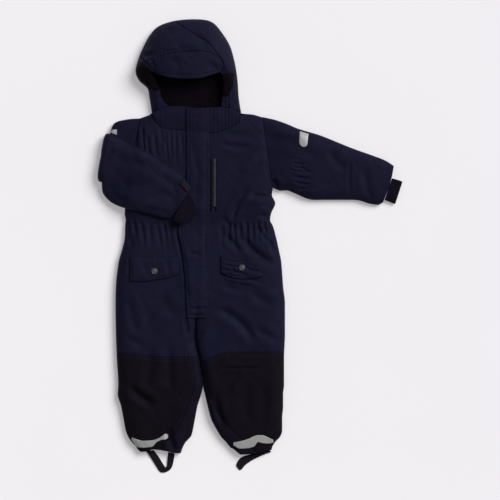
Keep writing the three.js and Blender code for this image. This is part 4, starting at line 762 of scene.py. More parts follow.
def layer_below(x, y):
    """What the folded part lies on: the upper arm's stub, the body inside the armhole, and the storm flap."""
    outer = seams("right", y)[0]
    flap = ramp(x, read(FLAP, "y", y, "right") - 14 * MM, read(FLAP, "y", y, "right") - 2 * MM)
    inside = body_top(np.maximum(x, outer + 4 * MM), y) + flap * (FLAP_THICK + LAY_GAP)
    over, under = read(STUB, "over_x", x, "over_y"), read(STUB, "over_x", x, "under_y")
    rise = round_edge(over - y, SLEEVE_SOFT) * round_edge(y - under, SLEEVE_SOFT)
    stub = LOW + (STUB_TOP - LOW) * rise * ((y > under) & (y < over))
    near = ramp(x, outer - 30 * MM, outer + 4 * MM)
    return np.where(x >= outer + 4 * MM, inside, np.maximum(stub, lerp(stub, inside, near)))


def folded_layers(ground, s, u):
    """Heights of the folded part at a place: both faces of its lower wall and both of its upper wall."""
    x, y, wide = sleeve_chord(FOLDED, s, u)
    rise = tube_rise(u, wide)
    ends = 1 - 0.25 * ramp(s, 0.8, 1)
    base = ground(x, y) + LAY_GAP
    lower = base + EDGE + (INNER_WALL - EDGE) * rise * ends
    relief = crumple(x, y, 41) - creases(x, y, FOLDED_CREASES)
    relief = relief + pucker((1 - s) * FOLDED_LONG, y, 43, 7 * MM)
    relief = relief + groove((1 - s) * FOLDED_LONG - HEM, 0.8 * MM)
    relief = relief + pucker(u * wide, x, 44, 12 * MM, 1.3) + pucker((1 - u) * wide, x, 45, 12 * MM, 1.3)
    upper = lower + SEAM_GAP + EDGE + np.maximum(OUTER_WALL - EDGE + relief, MM) * rise * ends
    return {"x": x, "y": y, "base": base, "lower": lower, "mid": lower + SEAM_GAP, "upper": upper}


def hood_point(at, out):
    """A point of the hood's shell, at a station round the opening and a share of the way out to the outline:
    it falls from the opening's edge to the outline as a power of the way out, with a slight swell."""
    x = lerp(station(HOOD, at, "in_x"), station(HOOD, at, "out_x"), out)
    y = lerp(station(HOOD, at, "in_y"), station(HOOD, at, "out_y"), out)
    out = np.clip(out, 0, 1)
    fall = (1 - out ** 2.4) ** 0.62
    z = LOW + (station(HOOD, at, "top") - LOW) * fall + 2.5 * MM * np.sin(np.pi * out)
    return np.stack(np.broadcast_arrays(x, y, z), axis=-1)


def hood_inside(at, out):
    """The same point moved in by the wall's thickness, square to the shell along the way out, and kept above
    the hood's back."""
    a, b = hood_point(at, np.maximum(out - 0.02, 0)), hood_point(at, np.minimum(out + 0.02, 1))
    p, s = hood_point(at, out), b - a
    flat = np.hypot(s[..., 0], s[..., 1])
    long = np.hypot(flat, s[..., 2])
    thick = lerp(HOOD_WALL, EDGE, ramp(out, 0.75, 1))
    inward = thick * np.maximum(-s[..., 2], 0) / long
    z = np.maximum(p[..., 2] - thick * flat / long, FRONT_BASE)
    x = p[..., 0] - s[..., 0] / flat * inward
    y = p[..., 1] - s[..., 1] / flat * inward
    return np.stack([x, y, z], axis=-1)


# Materials

class Paint:
    """Builds a material's nodes: each method adds one node and gives its main output."""

    def __init__(self, name):
        """An empty material with its shader and its texture coordinates."""
        self.material = bpy.data.materials.new(name)
        self.material.use_nodes = True
        self.tree = self.material.node_tree
        self.shader = self.tree.nodes["Principled BSDF"]
        self.place = self.add("ShaderNodeTexCoord")

    def add(self, kind, inputs=None, **options):
        """A node of a kind with its options set and its inputs put in."""
        node = self.tree.nodes.new(kind)
        for option, value in options.items():
            setattr(node, option, value)
        for socket, value in (inputs or {}).items():
            self.put(node.inputs[socket], value)
        return node

    def put(self, socket, value):
        """A link where the value is another node's output, and a constant otherwise."""
        if isinstance(value, bpy.types.NodeSocket):
            self.tree.links.new(value, socket)
        else:
            socket.default_value = value

    def math(self, operation, a, b=0.0, c=0.0):
        """One sum of up to three values."""
        return self.add("ShaderNodeMath", {0: a, 1: b, 2: c}, operation=operation).outputs[0]

    def noise(self, scale, detail=2.0, rough=0.5, on="Object", stretch=(1, 1, 1)):
        """Random patches, as many to the metre as the scale says."""
        spot = self.add("ShaderNodeMapping", {"Vector": self.place.outputs[on], "Scale": stretch}).outputs[0]
        node = self.add("ShaderNodeTexNoise", {"Vector": spot, "Scale": scale, "Detail": detail,
                                               "Roughness": rough})
        return node.outputs["Fac"]

    def span(self, value, low, high, start=0.3, stop=0.7):
        """A value from start to stop spread from low to high."""
        inputs = {"Value": value, "From Min": start, "From Max": stop, "To Min": low, "To Max": high}
        return self.add("ShaderNodeMapRange", inputs).outputs[0]

    def mix(self, share, a, b, blend="MIX"):
        """One colour laid over another by a share."""
        node = self.add("ShaderNodeMix", data_type="RGBA", blend_type=blend)
        for socket, value in ((0, share), (6, a), (7, b)):
            self.put(node.inputs[socket], value)
        return node.outputs[2]

    def axes(self, pitch):
        """The piece's own UV, counted in threads of a pitch."""
        parts = self.add("ShaderNodeSeparateXYZ", {0: self.place.outputs["UV"]}).outputs
        return self.math("DIVIDE", parts[0], pitch), self.math("DIVIDE", parts[1], pitch)

    def threads(self, across, down):
        """Height of a plain weave: each thread is round, and passes over and under the others in turn."""
        checker = self.math("PINGPONG", self.math("ADD", across, down), 1.0)
        warp = self.math("ABSOLUTE", self.math("SINE", self.math("MULTIPLY", across, math.pi)))
        weft = self.math("ABSOLUTE", self.math("SINE", self.math("MULTIPLY", down, math.pi)))
        return self.math("MULTIPLY", self.math("ADD", warp, weft), self.math("ADD", checker, 0.6))

    def bump(self, height, strength, distance, below=None):
        """Fine relief of a height, on the relief below it."""
        inputs = {"Height": height, "Strength": strength, "Distance": distance}
        if below is not None:
            inputs["Normal"] = below
        return self.add("ShaderNodeBump", inputs).outputs[0]

    def finish(self, colour, rough, normal, **constants):
        """The shader's colour, roughness and relief, and its constants by name."""
        self.put(self.shader.inputs["Base Color"], colour)
        self.put(self.shader.inputs["Roughness"], rough)
        self.put(self.shader.inputs["Normal"], normal)
        for socket, value in constants.items():
            self.shader.inputs[socket.replace("_", " ")].default_value = value
        return self.material


def rgba(colour, scale=1.0):
    """A colour times a scale, full at most, with no transparency."""
    return tuple(min(c * scale, 1) for c in colour) + (1.0,)


def woven(name, colour, warm, pitch, gloss, sheen):
    """Woven nylon: a plain weave on the piece's UV, patches of a warmer tone, fine crinkles and an uneven
    gloss, with a faint sheen at the edges."""
    p = Paint(name)
    tone = p.mix(p.span(p.noise(9, 3, 0.55), 0, 1), rgba(colour), rgba(warm))
    tone = p.mix(p.span(p.noise(38, 3), 0.0, 0.28), tone, rgba(colour, 1.7))
    weave = p.threads(*p.axes(pitch))
    # Painted shade: where the weave is low, between the threads, the tone is multiplied towards a darker copy
    # of the colour.
    tone = p.mix(p.span(weave, 0.32, 0.0, 0.4, 1.6), tone, rgba(colour, 0.55), "MULTIPLY")
    crinkle = p.bump(p.noise(260, 3, 0.6), 0.28, 0.5 * MM)
    cloth = p.bump(weave, 0.3, 0.12 * MM, crinkle)
    rough = p.span(p.noise(60, 2), gloss - 0.06, gloss + 0.08)
    return p.finish(tone, rough, cloth, Sheen_Weight=sheen, Sheen_Roughness=0.4,
                    Sheen_Tint=(0.55, 0.58, 1.0, 1), Specular_IOR_Level=0.1,
                    Specular_Tint=(0.6, 0.66, 1.0, 1))


def brushed(name, colour):
    """Brushed lining: short soft hairs as fine uneven bumps, with a sheen."""
    p = Paint(name)
    tone = p.mix(p.span(p.noise(90, 4), 0, 1), rgba(colour, 0.8), rgba(colour, 1.5))
    nap = p.bump(p.noise(900, 4, 0.7), 0.5, 0.5 * MM, p.bump(p.noise(160, 3), 0.4, MM))
    return p.finish(tone, 0.95, nap, Sheen_Weight=0.02, Sheen_Roughness=0.6,
                    Sheen_Tint=(0.7, 0.6, 0.65, 1), Specular_IOR_Level=0.05)


def knitted(name, colour):
    """Rib knit: rows of loops along the piece's UV, closer across than along."""
    p = Paint(name)
    across, down = p.axes(1.3 * MM)
    loop = p.math("ABSOLUTE", p.math("SINE", p.math("MULTIPLY", down, math.pi)))
    slant = p.math("ADD", down, p.math("PINGPONG", across, 0.5))
    vee = p.math("ABSOLUTE", p.math("SINE", p.math("MULTIPLY", slant, math.pi)))
    # Painted shade and highlight: the grooves between the loops take a darker copy of the colour and the
    # raised loops a lighter one.
    tone = p.mix(p.span(vee, 0, 1, 0.1, 1), rgba(colour, 0.6), rgba(colour, 1.5))
    tone = p.mix(p.span(p.noise(70, 3), 0, 0.4), tone, rgba(colour, 2))
    knit = p.bump(p.math("ADD", vee, loop), 0.5, 0.3 * MM, p.bump(p.noise(700, 3), 0.3, 0.3 * MM))
    return p.finish(tone, 0.92, knit, Sheen_Weight=0.02, Sheen_Roughness=0.5,
                    Sheen_Tint=(0.75, 0.7, 0.75, 1), Specular_IOR_Level=0.08)


def banded(name, colour):
    """Woven webbing: a herringbone of slanted threads that turn back every few millimetres."""
    p = Paint(name)
    across, down = p.axes(1.1 * MM)
    slant = p.math("ADD", down, p.math("PINGPONG", across, 3.0))
    rib = p.math("ABSOLUTE", p.math("SINE", p.math("MULTIPLY", slant, math.pi)))
    # Painted shade and highlight: the troughs between the slanted threads take a darker copy of the colour
    # and the raised threads a lighter one.
    tone = p.mix(p.span(rib, 0, 1, 0.1, 0.9), rgba(colour, 0.6), rgba(colour, 1.5))
    tone = p.mix(p.span(p.noise(80, 2), 0, 0.35), tone, rgba(colour, 2.1))
    return p.finish(tone, 0.82, p.bump(rib, 0.5, 0.3 * MM, p.bump(p.noise(300, 2), 0.2, 0.4 * MM)),
                    Sheen_Weight=0.02, Specular_IOR_Level=0.1)


def beaded(name, colour):
    """Reflective film: a fine diagonal net over tiny glass beads, slightly creased and greyed in places."""
    p = Paint(name)
    across, down = p.axes(1.6 * MM)
    one = p.math("PINGPONG", p.math("ADD", across, down), 0.5)
    two = p.math("PINGPONG", p.math("SUBTRACT", across, down), 0.5)
    net = p.span(p.math("MINIMUM", one, two), 0, 1, 0.02, 0.12)
    tone = p.mix(p.span(p.noise(70, 4), 0, 0.5), rgba(colour), rgba(colour, 0.72))
    tone = p.mix(net, rgba(colour, 0.7), tone)
    film = p.bump(net, 0.25, 0.15 * MM, p.bump(p.noise(240, 3), 0.25, 0.5 * MM))
    return p.finish(tone, p.span(p.noise(120, 2), 0.34, 0.5), film, Metallic=0.15, Specular_IOR_Level=0.5)


def moulded(name, colour, rough, metal=0.0, grain=420.0):
    """Moulded or stamped trim: an even tone with fine scratches and slightly worn, lighter spots."""
    p = Paint(name)
    tone = p.mix(p.span(p.noise(220, 4), 0, 0.5), rgba(colour), rgba(colour, 1.35))
    marks = p.noise(grain, 4, 0.6, stretch=(1, 4, 1))
    return p.finish(tone, p.span(marks, rough - 0.08, rough + 0.12), p.bump(marks, 0.15, 0.15 * MM),
                    Metallic=metal)


def pale_floor(name, colour, glow):
    """Pale floor: an even matt tone with a hardly seen mottle, partly lit through from below."""
    p = Paint(name)
    tone = p.mix(p.span(p.noise(3, 2), 0, 1), rgba(colour), rgba(colour, 0.985))
    material = p.finish(tone, 0.9, p.bump(p.noise(500, 2), 0.02, 0.1 * MM), Specular_IOR_Level=0.1)
    p.put(p.shader.inputs["Emission Color"], rgba(colour))
    p.shader.inputs["Emission Strength"].default_value = glow
    return material


def cloth(kind):
    """The material of a kind, made once."""
    known = bpy.data.materials.get(kind)
    if known:
        return known
    c, pitch = colours(), sizes().weave_pitch
    makers = {
        "woven_nylon": lambda: woven(kind, c.shell, c.shell_warm, pitch, 0.66, 0.02),
        "coated_nylon": lambda: woven(kind, c.reinforcement, c.reinforcement, pitch * 1.5, 0.72, 0.02),
        "brushed_lining": lambda: brushed(kind, c.lining),
        "inner_nylon": lambda: woven(kind, c.gusset, c.reinforcement, pitch, 0.7, 0.02),
        "ribbed_knit": lambda: knitted(kind, c.knit),
        "woven_webbing": lambda: banded(kind, c.webbing),
        "reflective_film": lambda: beaded(kind, c.reflective),
        "zip_coil": lambda: moulded(kind, c.zip, 0.45),
        # The teeth's lighter colour is partly a painted highlight along the coil.
        "zip_teeth": lambda: moulded(kind, c.teeth, 0.4),
        "snap_cap": lambda: moulded(kind, c.snap, 0.42, 0.35),
        "sewing_thread": lambda: banded(kind, c.thread),
    }
    return makers[kind]()


class SNOWSUIT_OT_stage(bpy.types.Operator):
    """Camera straight above, a pale floor and soft light from the upper right"""
    bl_idname = "snowsuit.stage"
    bl_label = "Stage"
    bl_options = {"REGISTER", "UNDO"}

    def execute(self, context):
        stage = context.scene.snowsuit.stage
        sensor = 36.0
        data = bpy.data.cameras.new("camera")
        data.sensor_width = sensor
        data.lens = sensor * stage.distance / stage.view_width
        data.clip_end = 100
        camera = bpy.data.objects.new("camera", data)
        camera.location = (0, stage.view_y, stage.distance)
        context.scene.collection.objects.link(camera)
        context.scene.camera = camera
        half = 8.0
        corners = np.array([[-half, -half, 0], [half, -half, 0], [half, half, 0], [-half, half, 0]])
        corners[:, 2] = -0.3 * MM
        mesh = bpy.data.meshes.new("floor")
        mesh.from_pydata(corners, [], [[0, 1, 2, 3]])
        floor = bpy.data.objects.new("floor", mesh)
        floor.data.materials.append(pale_floor("pale_floor", colours().floor, stage.glow))
        context.scene.collection.objects.link(floor)
        sun = bpy.data.lights.new("soft_sun", "SUN")
        sun.energy = stage.sun
        sun.angle = stage.sun_angle
        light = bpy.data.objects.new("soft_sun", sun)
        light.rotation_euler = (math.radians(-26), math.radians(40), 0)
        context.scene.collection.objects.link(light)
        world = bpy.data.worlds.new("studio")
        world.use_nodes = True
        world.node_tree.nodes["Background"].inputs[0].default_value = (0.97, 0.96, 1.0, 1)
        world.node_tree.nodes["Background"].inputs[1].default_value = stage.sky
        context.scene.world = world
        context.scene.view_settings.view_transform = "Standard"
        return {"FINISHED"}


class SNOWSUIT_OT_fronts(bpy.types.Operator):
    """Front halves, from the neckline to the knee seam"""
    bl_idname = "snowsuit.fronts"
    bl_label = "Front Halves"
    bl_options = {"REGISTER", "UNDO"}

    def execute(self, context):
        for half in ("right", "left"):
            x, y = panel_places(
                half, lambda x: read(NECKLINE, "x", x, "y") - SEAM_GAP / 2,
                lambda x: read(KNEE_SEAM, "x", x, "y") + SEAM_GAP / 2, 160 * MM, 510 * MM)
            face = np.stack([x, y, body_top(x, y)], axis=-1)
            padded(plate(f"front_{half}", face, FRONT_BASE, [cloth("woven_nylon")]))
        return {"FINISHED"}


class SNOWSUIT_OT_backs(bpy.types.Operator):
    """Back halves, from the shoulder line to the ankle hem, flat below and rounded up to the side seams"""
    bl_idname = "snowsuit.backs"
    bl_label = "Back Halves"
    bl_options = {"REGISTER", "UNDO"}

    def execute(self, context):
        for half in ("right", "left"):
            x, y = panel_places(
                half, lambda x: np.minimum(read(SHOULDER, "x", x, "y"), 285.6 * MM),
                lambda x: read(ANKLE_HEM, "x", x, "y"), 160 * MM, 720 * MM, step=2.2 * MM)
            outer, inner = seams(half, y)
            side = round_edge(np.abs(x - outer), BACK_SOFT, read(BODY, "y", y, "side"))
            middle = round_edge(np.abs(x - inner), BACK_SOFT, read(BODY, "y", y, "inner"))
            under = (BACK_TOP - EDGE) * (1 - side * middle)
            under = under + np.maximum(creases(x, y, BACK_CREASES), 0) * side * middle
            face = np.stack([x, y, np.minimum(under, BACK_TOP - 0.8 * MM)], axis=-1)
            padded(plate(f"back_{half}", face, BACK_TOP, [cloth("woven_nylon")]))
        return {"FINISHED"}


class SNOWSUIT_OT_legs(bpy.types.Operator):
    """Reinforced knee and shin panels, and the gussets inside them"""
    bl_idname = "snowsuit.legs"
    bl_label = "Knees and Gussets"
    bl_options = {"REGISTER", "UNDO"}

    def execute(self, context):
        for half, sign in (("right", -1), ("left", 1)):
            def knee_edges(side, y, sign=sign, half=half):
                """Side seam, and the gusset's seam: the inner edge less the gusset's width."""
                outer, inner = seams(side, y)
                return outer, inner + sign * (read(GUSSET, "y", y, half) + SEAM_GAP / 2)

            def gusset_edges(side, y, sign=sign, half=half):
                """The gusset's own two edges."""
                inner = seams(side, y)[1]
                return inner + sign * (read(GUSSET, "y", y, half) - SEAM_GAP / 2), inner

            lines = (lambda x: read(KNEE_SEAM, "x", x, "y") - SEAM_GAP / 2,
                     lambda x: read(ANKLE_HEM, "x", x, "y"))
            x, y = panel_places(half, *lines, 150 * MM, 205 * MM, knee_edges)
            inner = knee_edges(half, y)[1]
            seam = pucker(np.abs(x - inner), y, 61) + groove(np.abs(x - inner) - 4 * MM)
            face = np.stack([x, y, body_top(x, y) + KNEE_LIFT + seam], axis=-1)
            knee = plate(f"knee_{half}", face, FRONT_BASE, [cloth("coated_nylon")])
            dress(knee, "reinforcement", f"knee_{half}")
            x, y = panel_places(half, *lines, 40 * MM, 205 * MM, gusset_edges)
            outer = gusset_edges(half, y)[0]
            face = np.stack([x, y, body_top(x, y) + pucker(np.abs(x - outer), y, 63)], axis=-1)
            padded(plate(f"gusset_{half}", face, FRONT_BASE, [cloth("inner_nylon")]))
        return {"FINISHED"}


class SNOWSUIT_OT_collar(bpy.types.Operator):
    """Stand-up collar, in two halves that meet at the chin"""
    bl_idname = "snowsuit.collar"
    bl_label = "Collar"
    bl_options = {"REGISTER", "UNDO"}

    def execute(self, context):
        for half, start, stop in (("right", -210.6, -113.15), ("left", -19.6, -112.85)):
            x = lerp(start, stop, lengths(97 * MM, 1.3 * MM))[:, None] * MM
            k = lengths(46 * MM, 1.3 * MM)[None]
            y = lerp(read(COLLAR_TOP, "x", x, "y") - 0.4 * MM, read(NECKLINE, "x", x, "y") + 0.25 * MM, k)
            x = np.broadcast_to(x, y.shape)
            thick = lerp(EDGE, 7 * MM, ramp(np.abs(x - start * MM), 0, 40 * MM))
            wide = read(COLLAR_TOP, "x", x, "y") - read(NECKLINE, "x", x, "y")
            top_edge = (1 - round_edge(k * wide, 5 * MM)) * thick * 0.6
            top = chest_top(x, y) - top_edge + groove(k * wide - 8 * MM)
            top = top + pucker((1 - k) * wide, x, 71, scale=0.4)
            under = np.maximum(chest_top(x, y, False) - thick, BACK_TOP + 6.2 * MM)
            under = np.minimum(under, top - 0.8 * MM)
            padded(shell(f"collar_{half}", np.stack([x, y, top], axis=-1), np.stack([x, y, under], axis=-1),
                         [cloth("woven_nylon")]))
        return {"FINISHED"}


class SNOWSUIT_OT_left_sleeve(bpy.types.Operator):
    """Left sleeve, stretched out, as two panels"""
    bl_idname = "snowsuit.left_sleeve"
    bl_label = "Left Sleeve"
    bl_options = {"REGISTER", "UNDO"}

    def execute(self, context):
        s, u = lengths(300 * MM)[:, None], lengths(155 * MM)[None]
        x, y, wide = left_sleeve_places(s, u)
        top = np.stack(np.broadcast_arrays(x, y, left_sleeve_top(s, u)), axis=-1)
        padded(plate("sleeve_left_front", top, FRONT_BASE, [cloth("woven_nylon")]))
        under = floor_rise(u, wide) + np.maximum(creases(x, y, BACK_CREASES), 0) * tube_rise(u, wide, 12 * MM)
        under = np.stack(np.broadcast_arrays(x, y, np.minimum(under, BACK_TOP - 0.8 * MM)), axis=-1)
        padded(plate("sleeve_left_back", under, BACK_TOP, [cloth("woven_nylon")]))
        return {"FINISHED"}


def folded_ground():
    """What the folded sleeve and the tab on it lie on."""
    return Ground(layer_below, (-340 * MM, -100 * MM), (30 * MM, 290 * MM), 8 * MM, 16 * MM)


class SNOWSUIT_OT_right_sleeve(bpy.types.Operator):
    """Right sleeve: both walls run out along the upper arm, turn back at the fold and lie on themselves"""
    bl_idname = "snowsuit.right_sleeve"
    bl_label = "Folded Right Sleeve"
    bl_options = {"REGISTER", "UNDO"}

    def execute(self, context):
        ground = folded_ground()
        u = lengths(155 * MM, 2 * MM)[None]
        stub = np.linspace(0, 0.97, 26)[:, None]
        turns = np.linspace(-0.5, 0.5, 25)[:, None]
        folded = np.linspace(0.012, 1, 96)[:, None]
        xs, ys, wide = sleeve_chord(STUB, stub, u)
        x0, y0, wide0 = sleeve_chord(FOLDED, turns * 0, u)
        layers = folded_layers(ground, folded, u)
        start = folded_layers(ground, turns * 0, u)

        def face(stub_height, column):
            """One face of a wall: flat on the stub, a half round at the fold, then on the sleeve."""
            level, high = stub_height(u, wide0, 1 + turns * 0), start[column]
            half = (high - level) / 2
            out = half * FOLD_BULGE * np.cos(turns * np.pi)
            turn = (x0 + FOLD_OUT[0] * out, y0 + FOLD_OUT[1] * out,
                    (high + level) / 2 + half * np.sin(turns * np.pi))
            parts = [(xs, ys, stub_height(u, wide, stub)), turn, (layers["x"], layers["y"], layers[column])]
            return np.concatenate([np.stack(np.broadcast_arrays(*part), axis=-1) for part in parts])

        def stub_top(u, wide, s):
            """Top of the upper arm's wall, a little higher at the shoulder."""
            shoulder = 3.5 * MM * (1 - ramp(s, 0, 0.6))
            return LOW + (STUB_TOP - LOW + shoulder) * tube_rise(u, wide)

        def stub_low(u, wide, s):
            """Underside of the upper arm's front wall, flat on the back wall."""
            return FRONT_BASE + 0 * (u + s)

        padded(shell("sleeve_right_front", face(stub_low, "lower"), face(stub_top, "base"),
                     [cloth("woven_nylon")]))
        padded(shell("sleeve_right_back", face(lambda u, wide, s: floor_rise(u, wide) + 0 * s, "upper"),
                     face(lambda u, wide, s: BACK_TOP + 0 * (u + s), "mid"), [cloth("woven_nylon")]))
        return {"FINISHED"}


class SNOWSUIT_OT_cuffs(bpy.types.Operator):
    """Rib knit cuffs: flattened tubes with raised ribs outside and a plain slit inside"""
    bl_idname = "snowsuit.cuffs"
    bl_label = "Rib Cuffs"
    bl_options = {"REGISTER", "UNDO"}

    def execute(self, context):
        for half, rows in CUFFS.items():
            along = np.linspace(0, 2, 25)[:, None]
            turn = np.linspace(0, 2 * np.pi, sizes().ribs * 10, endpoint=False)[None]
            over = station(rows, along, "over_x"), station(rows, along, "over_y")
            under = station(rows, along, "under_x"), station(rows, along, "under_y")
            wide = np.hypot(over[0] - under[0], over[1] - under[1]) / 2
            rib = CUFF_RIB * (1 - 2 * np.abs(np.sin(turn * sizes().ribs / 2)) ** 0.8)
            uneven = 0.5 * MM * noise(turn * 20 * MM, along * 20 * MM, 14 * MM, 81)

            def ring(half_height, inset, bump):
                """Points round the tube: powers of the cosine and sine make a flat oval with a bump on it."""
                reach = wide - inset
                aside = np.sign(np.cos(turn)) * np.abs(np.cos(turn)) ** 0.8 * (reach + bump)
                lift = np.sign(np.sin(turn)) * np.abs(np.sin(turn)) ** 0.6 * (half_height + bump)
                x = (over[0] + under[0]) / 2 + (over[0] - under[0]) / (2 * wide) * aside
                y = (over[1] + under[1]) / 2 + (over[1] - under[1]) / (2 * wide) * aside
                return np.stack(np.broadcast_arrays(x, y, station(rows, along, "z") + lift), axis=-1)

            outer = ring(CUFF_WALL + CUFF_SLIT, CUFF_RIB, rib + uneven)
            inner = ring(CUFF_SLIT, CUFF_WALL + CUFF_RIB, 0 * turn)
            cuff = tube(f"rib_cuff_{half}", outer, inner, [cloth("ribbed_knit")])
            sheet(cuff, "rib_knit", f"rib_cuff_{half}")
        return {"FINISHED"}


def tube(name, outer, inner, materials):
    """A closed ring of cloth: an outer and an inner grid that both run all the way round, joined at both
    ends."""
    rows, columns = outer.shape[:2]
    number = np.arange(rows * columns).reshape(rows, columns)
    under = number + rows * columns
    ends = [np.stack([under[0], number[0]]), np.stack([number[-1], under[-1]])]
    faces = [quads(number, True), quads(under, True)[:, ::-1]] + [quads(e, True) for e in ends]
    uv = np.concatenate([unrolled(outer).reshape(-1, 2), unrolled(inner).reshape(-1, 2)])
    return make(name, np.concatenate([outer.reshape(-1, 3), inner.reshape(-1, 3)]), faces, uv, materials)


class SNOWSUIT_OT_hood(bpy.types.Operator):
    """Hood: brim, crown and two sides round the face opening, with the turned-out edges of the lining"""
    bl_idname = "snowsuit.hood"
    bl_label = "Hood"
    bl_options = {"REGISTER", "UNDO"}

    def execute(self, context):
        def left_seam(out):
            """Station of the seam between the crown and the left side."""
            return read(HOOD_LEFT_SEAM, "out", out, "at")

        def slit(out):
            """Half the gap at the left seam, which closes towards the outline."""
            return PANEL_GAP * (1 - 0.75 * ramp(out, 0.62, 0.8))

        centre = (lambda out: HOOD_RIGHT_SEAM + PANEL_GAP + 0 * out, lambda out: left_seam(out) - slit(out))
        right = (lambda out: HOOD_END + 0 * out, lambda out: HOOD_RIGHT_SEAM - PANEL_GAP + 0 * out)
        left = (lambda out: left_seam(out) + slit(out), lambda out: HOOD_LAST - HOOD_END + 0 * out)
        brim, crown, whole = (0, BRIM_OUT - 0.003), (BRIM_OUT + 0.003, 1), (0, 1)
        panels = [("hood_brim", centre, brim, 190), ("hood_crown", centre, crown, 190),
                  ("hood_side_right", right, whole, 110), ("hood_side_left", left, whole, 150)]
        for seed, (name, (start, stop), (first, last), wide) in enumerate(panels):
            out = np.linspace(first, last, round(125 * (last - first) ** 0.5 * 0.75))[:, None]
            at = lerp(start(out), stop(out), lengths(wide * MM, 1.6 * MM)[None])
            out = np.broadcast_to(out, at.shape)
            base = hood_point(at, out)
            x, y = base[..., 0], base[..., 1]
            edge = np.minimum(at - start(out), stop(out) - at) * 25 * MM
            seam = np.abs(out - BRIM_OUT) * HOOD_WAY
            relief = 1.3 * crumple(x, y, 91 + seed) - creases(x, y, HOOD_CREASES)
            relief = relief + pucker(edge, y, 101 + seed, 9 * MM, 1.3)
            if name in ("hood_brim", "hood_crown"):
                relief = relief + pucker(seam, x, 105, 9 * MM, 1.2) + groove(seam - 5 * MM)
            relief = relief + groove(out * HOOD_WAY - 7 * MM, 0.7 * MM, 1.6 * MM)
            relief = relief * (1 - ramp(out, 0.9, 1))
            outer = pushed(base, relief)
            outer[..., 2] = np.maximum(outer[..., 2], FRONT_BASE + 0.4 * MM)
            inner = hood_inside(at, out)
            padded(shell(name, outer, inner, [cloth("woven_nylon"), cloth("brushed_lining")]))
        self.edges()
        return {"FINISHED"}

    def edges(self):
        """The hood's edge turned out at both sides, a thin wall lifted off the shell."""
        for name, (start, lean, stop), far, narrows, flat in (
                ("hood_edge_right", (1.9, 0, 4.75), 0.93, 0, (0.034, 0.055)),
                ("hood_edge_left", (14.4, 0.8, 16.8), 0.84, 0.5, (0.027, 0.048))):
            k = lengths(60 * MM, 1.3 * MM)[None]
            u = lengths(34 * MM, 1.3 * MM)[:, None]
            ragged = 1 + 0.12 * noise(k * 60 * MM, 0 * k, 11 * MM, 115)
            out = u * np.minimum(far * (1 - narrows * k ** 1.5) * ragged, 0.95)
            at = lerp(start + lean * out, stop + 0.12 * noise(u * 34 * MM, 0 * u, 11 * MM, 116), k)
            out, at = np.broadcast_arrays(out, at)
            base = hood_point(at, out)
            x, y = base[..., 0], base[..., 1]
            edge = np.minimum(np.minimum(u, 1 - u) * 34, np.minimum(k, 1 - k) * 60) * MM
            swell = 1.6 * MM * round_edge(edge, 7 * MM) + 1.5 * crumple(x, y, 111)
            swell = swell - 0.7 * creases(x, y, HOOD_CREASES)
            lift = LAY_GAP + np.maximum(TURNED_EDGE + swell, 0.9 * MM)
            outer, inner = base.copy(), base.copy()
            outer[..., 2] += lift + 1.2 * MM
            inner[..., 2] += LAY_GAP + 1.2 * MM
            turned = shell(name, outer, inner, [cloth("brushed_lining")])
            sheet(turned, "lining", name)


class SNOWSUIT_OT_hood_back(bpy.types.Operator):
    """Back of the hood on the floor, and the lining on it"""
    bl_idname = "snowsuit.hood_back"
    bl_label = "Hood Back and Lining"
    bl_options = {"REGISTER", "UNDO"}

    def execute(self, context):
        half = (len(HOOD["out_x"]) - 1) // 2
        lines = [
            {"x": HOOD["out_x"][:half + 2], "y": HOOD["out_y"][:half + 2]},
            {"x": HOOD["out_x"][half + 1:], "y": HOOD["out_y"][half + 1:]},
        ]

        def places(low, high, inset, step):
            """Grid of places between the hood's two outlines, and the distance to the nearer one."""
            y = lerp(low, high, lengths(high - low, step))[:, None]
            u = lengths(200 * MM, step)[None]
            first = read(lines[0], "y", y, "x") + inset
            last = read(lines[1], "y", y, "x") - inset
            x = lerp(first, last, u)
            return x, np.broadcast_to(y, x.shape), (last - first) * np.minimum(u, 1 - u)

        x, y, near = places(286 * MM, 486.4 * MM, 0.3 * MM, 2.2 * MM)
        rise = round_edge(near, BACK_SOFT) * round_edge(487 * MM - y, BACK_SOFT)
        under = (BACK_TOP - EDGE) * (1 - rise) + 0.5 * MM * rise * (0.5 + 0.5 * noise(x, y, 40 * MM, 121))
        padded(plate("hood_back", np.stack([x, y, under], axis=-1), BACK_TOP, [cloth("woven_nylon")]))
        x, y, near = places(287 * MM, 420 * MM, 14 * MM, 1.8 * MM)
        rise = round_edge(near, 40 * MM) * round_edge(y - 286 * MM, 30 * MM)
        top = BACK_TOP + SEAM_GAP + 1.2 * MM + 4 * MM * rise + crumple(x, y, 123) * rise
        face = np.stack([x, y, top], axis=-1)
        lining = plate("hood_lining", face, BACK_TOP + SEAM_GAP, [cloth("brushed_lining")])
        sheet(lining, "lining", "hood_lining")
        return {"FINISHED"}


def chest_ground(x_range, y_range, reach=2 * MM, soften=6 * MM):
    """What a flap, welt or patch on the front lies on."""
    return Ground(chest_top, x_range, y_range, reach, soften, 1.5 * MM)


def laid(name, x, y, ground, thick, edges, kind, round_to=2.2 * MM, relief=0.0):
    """A piece that lies on the front: its underside follows what it lies on, and its top is a thickness
    higher and rounded down at its edges, whose nearest distance is given."""
    seat = np.maximum(ground(x, y), chest_top(x, y)) + LAY_GAP
    rise = lerp(0.35, 1, round_edge(edges, round_to))
    top = seat + np.maximum(thick * rise + relief, 0.5 * MM)
    return shell(name, np.stack([x, y, top], axis=-1), np.stack([x, y, seat], axis=-1), [cloth(kind)])


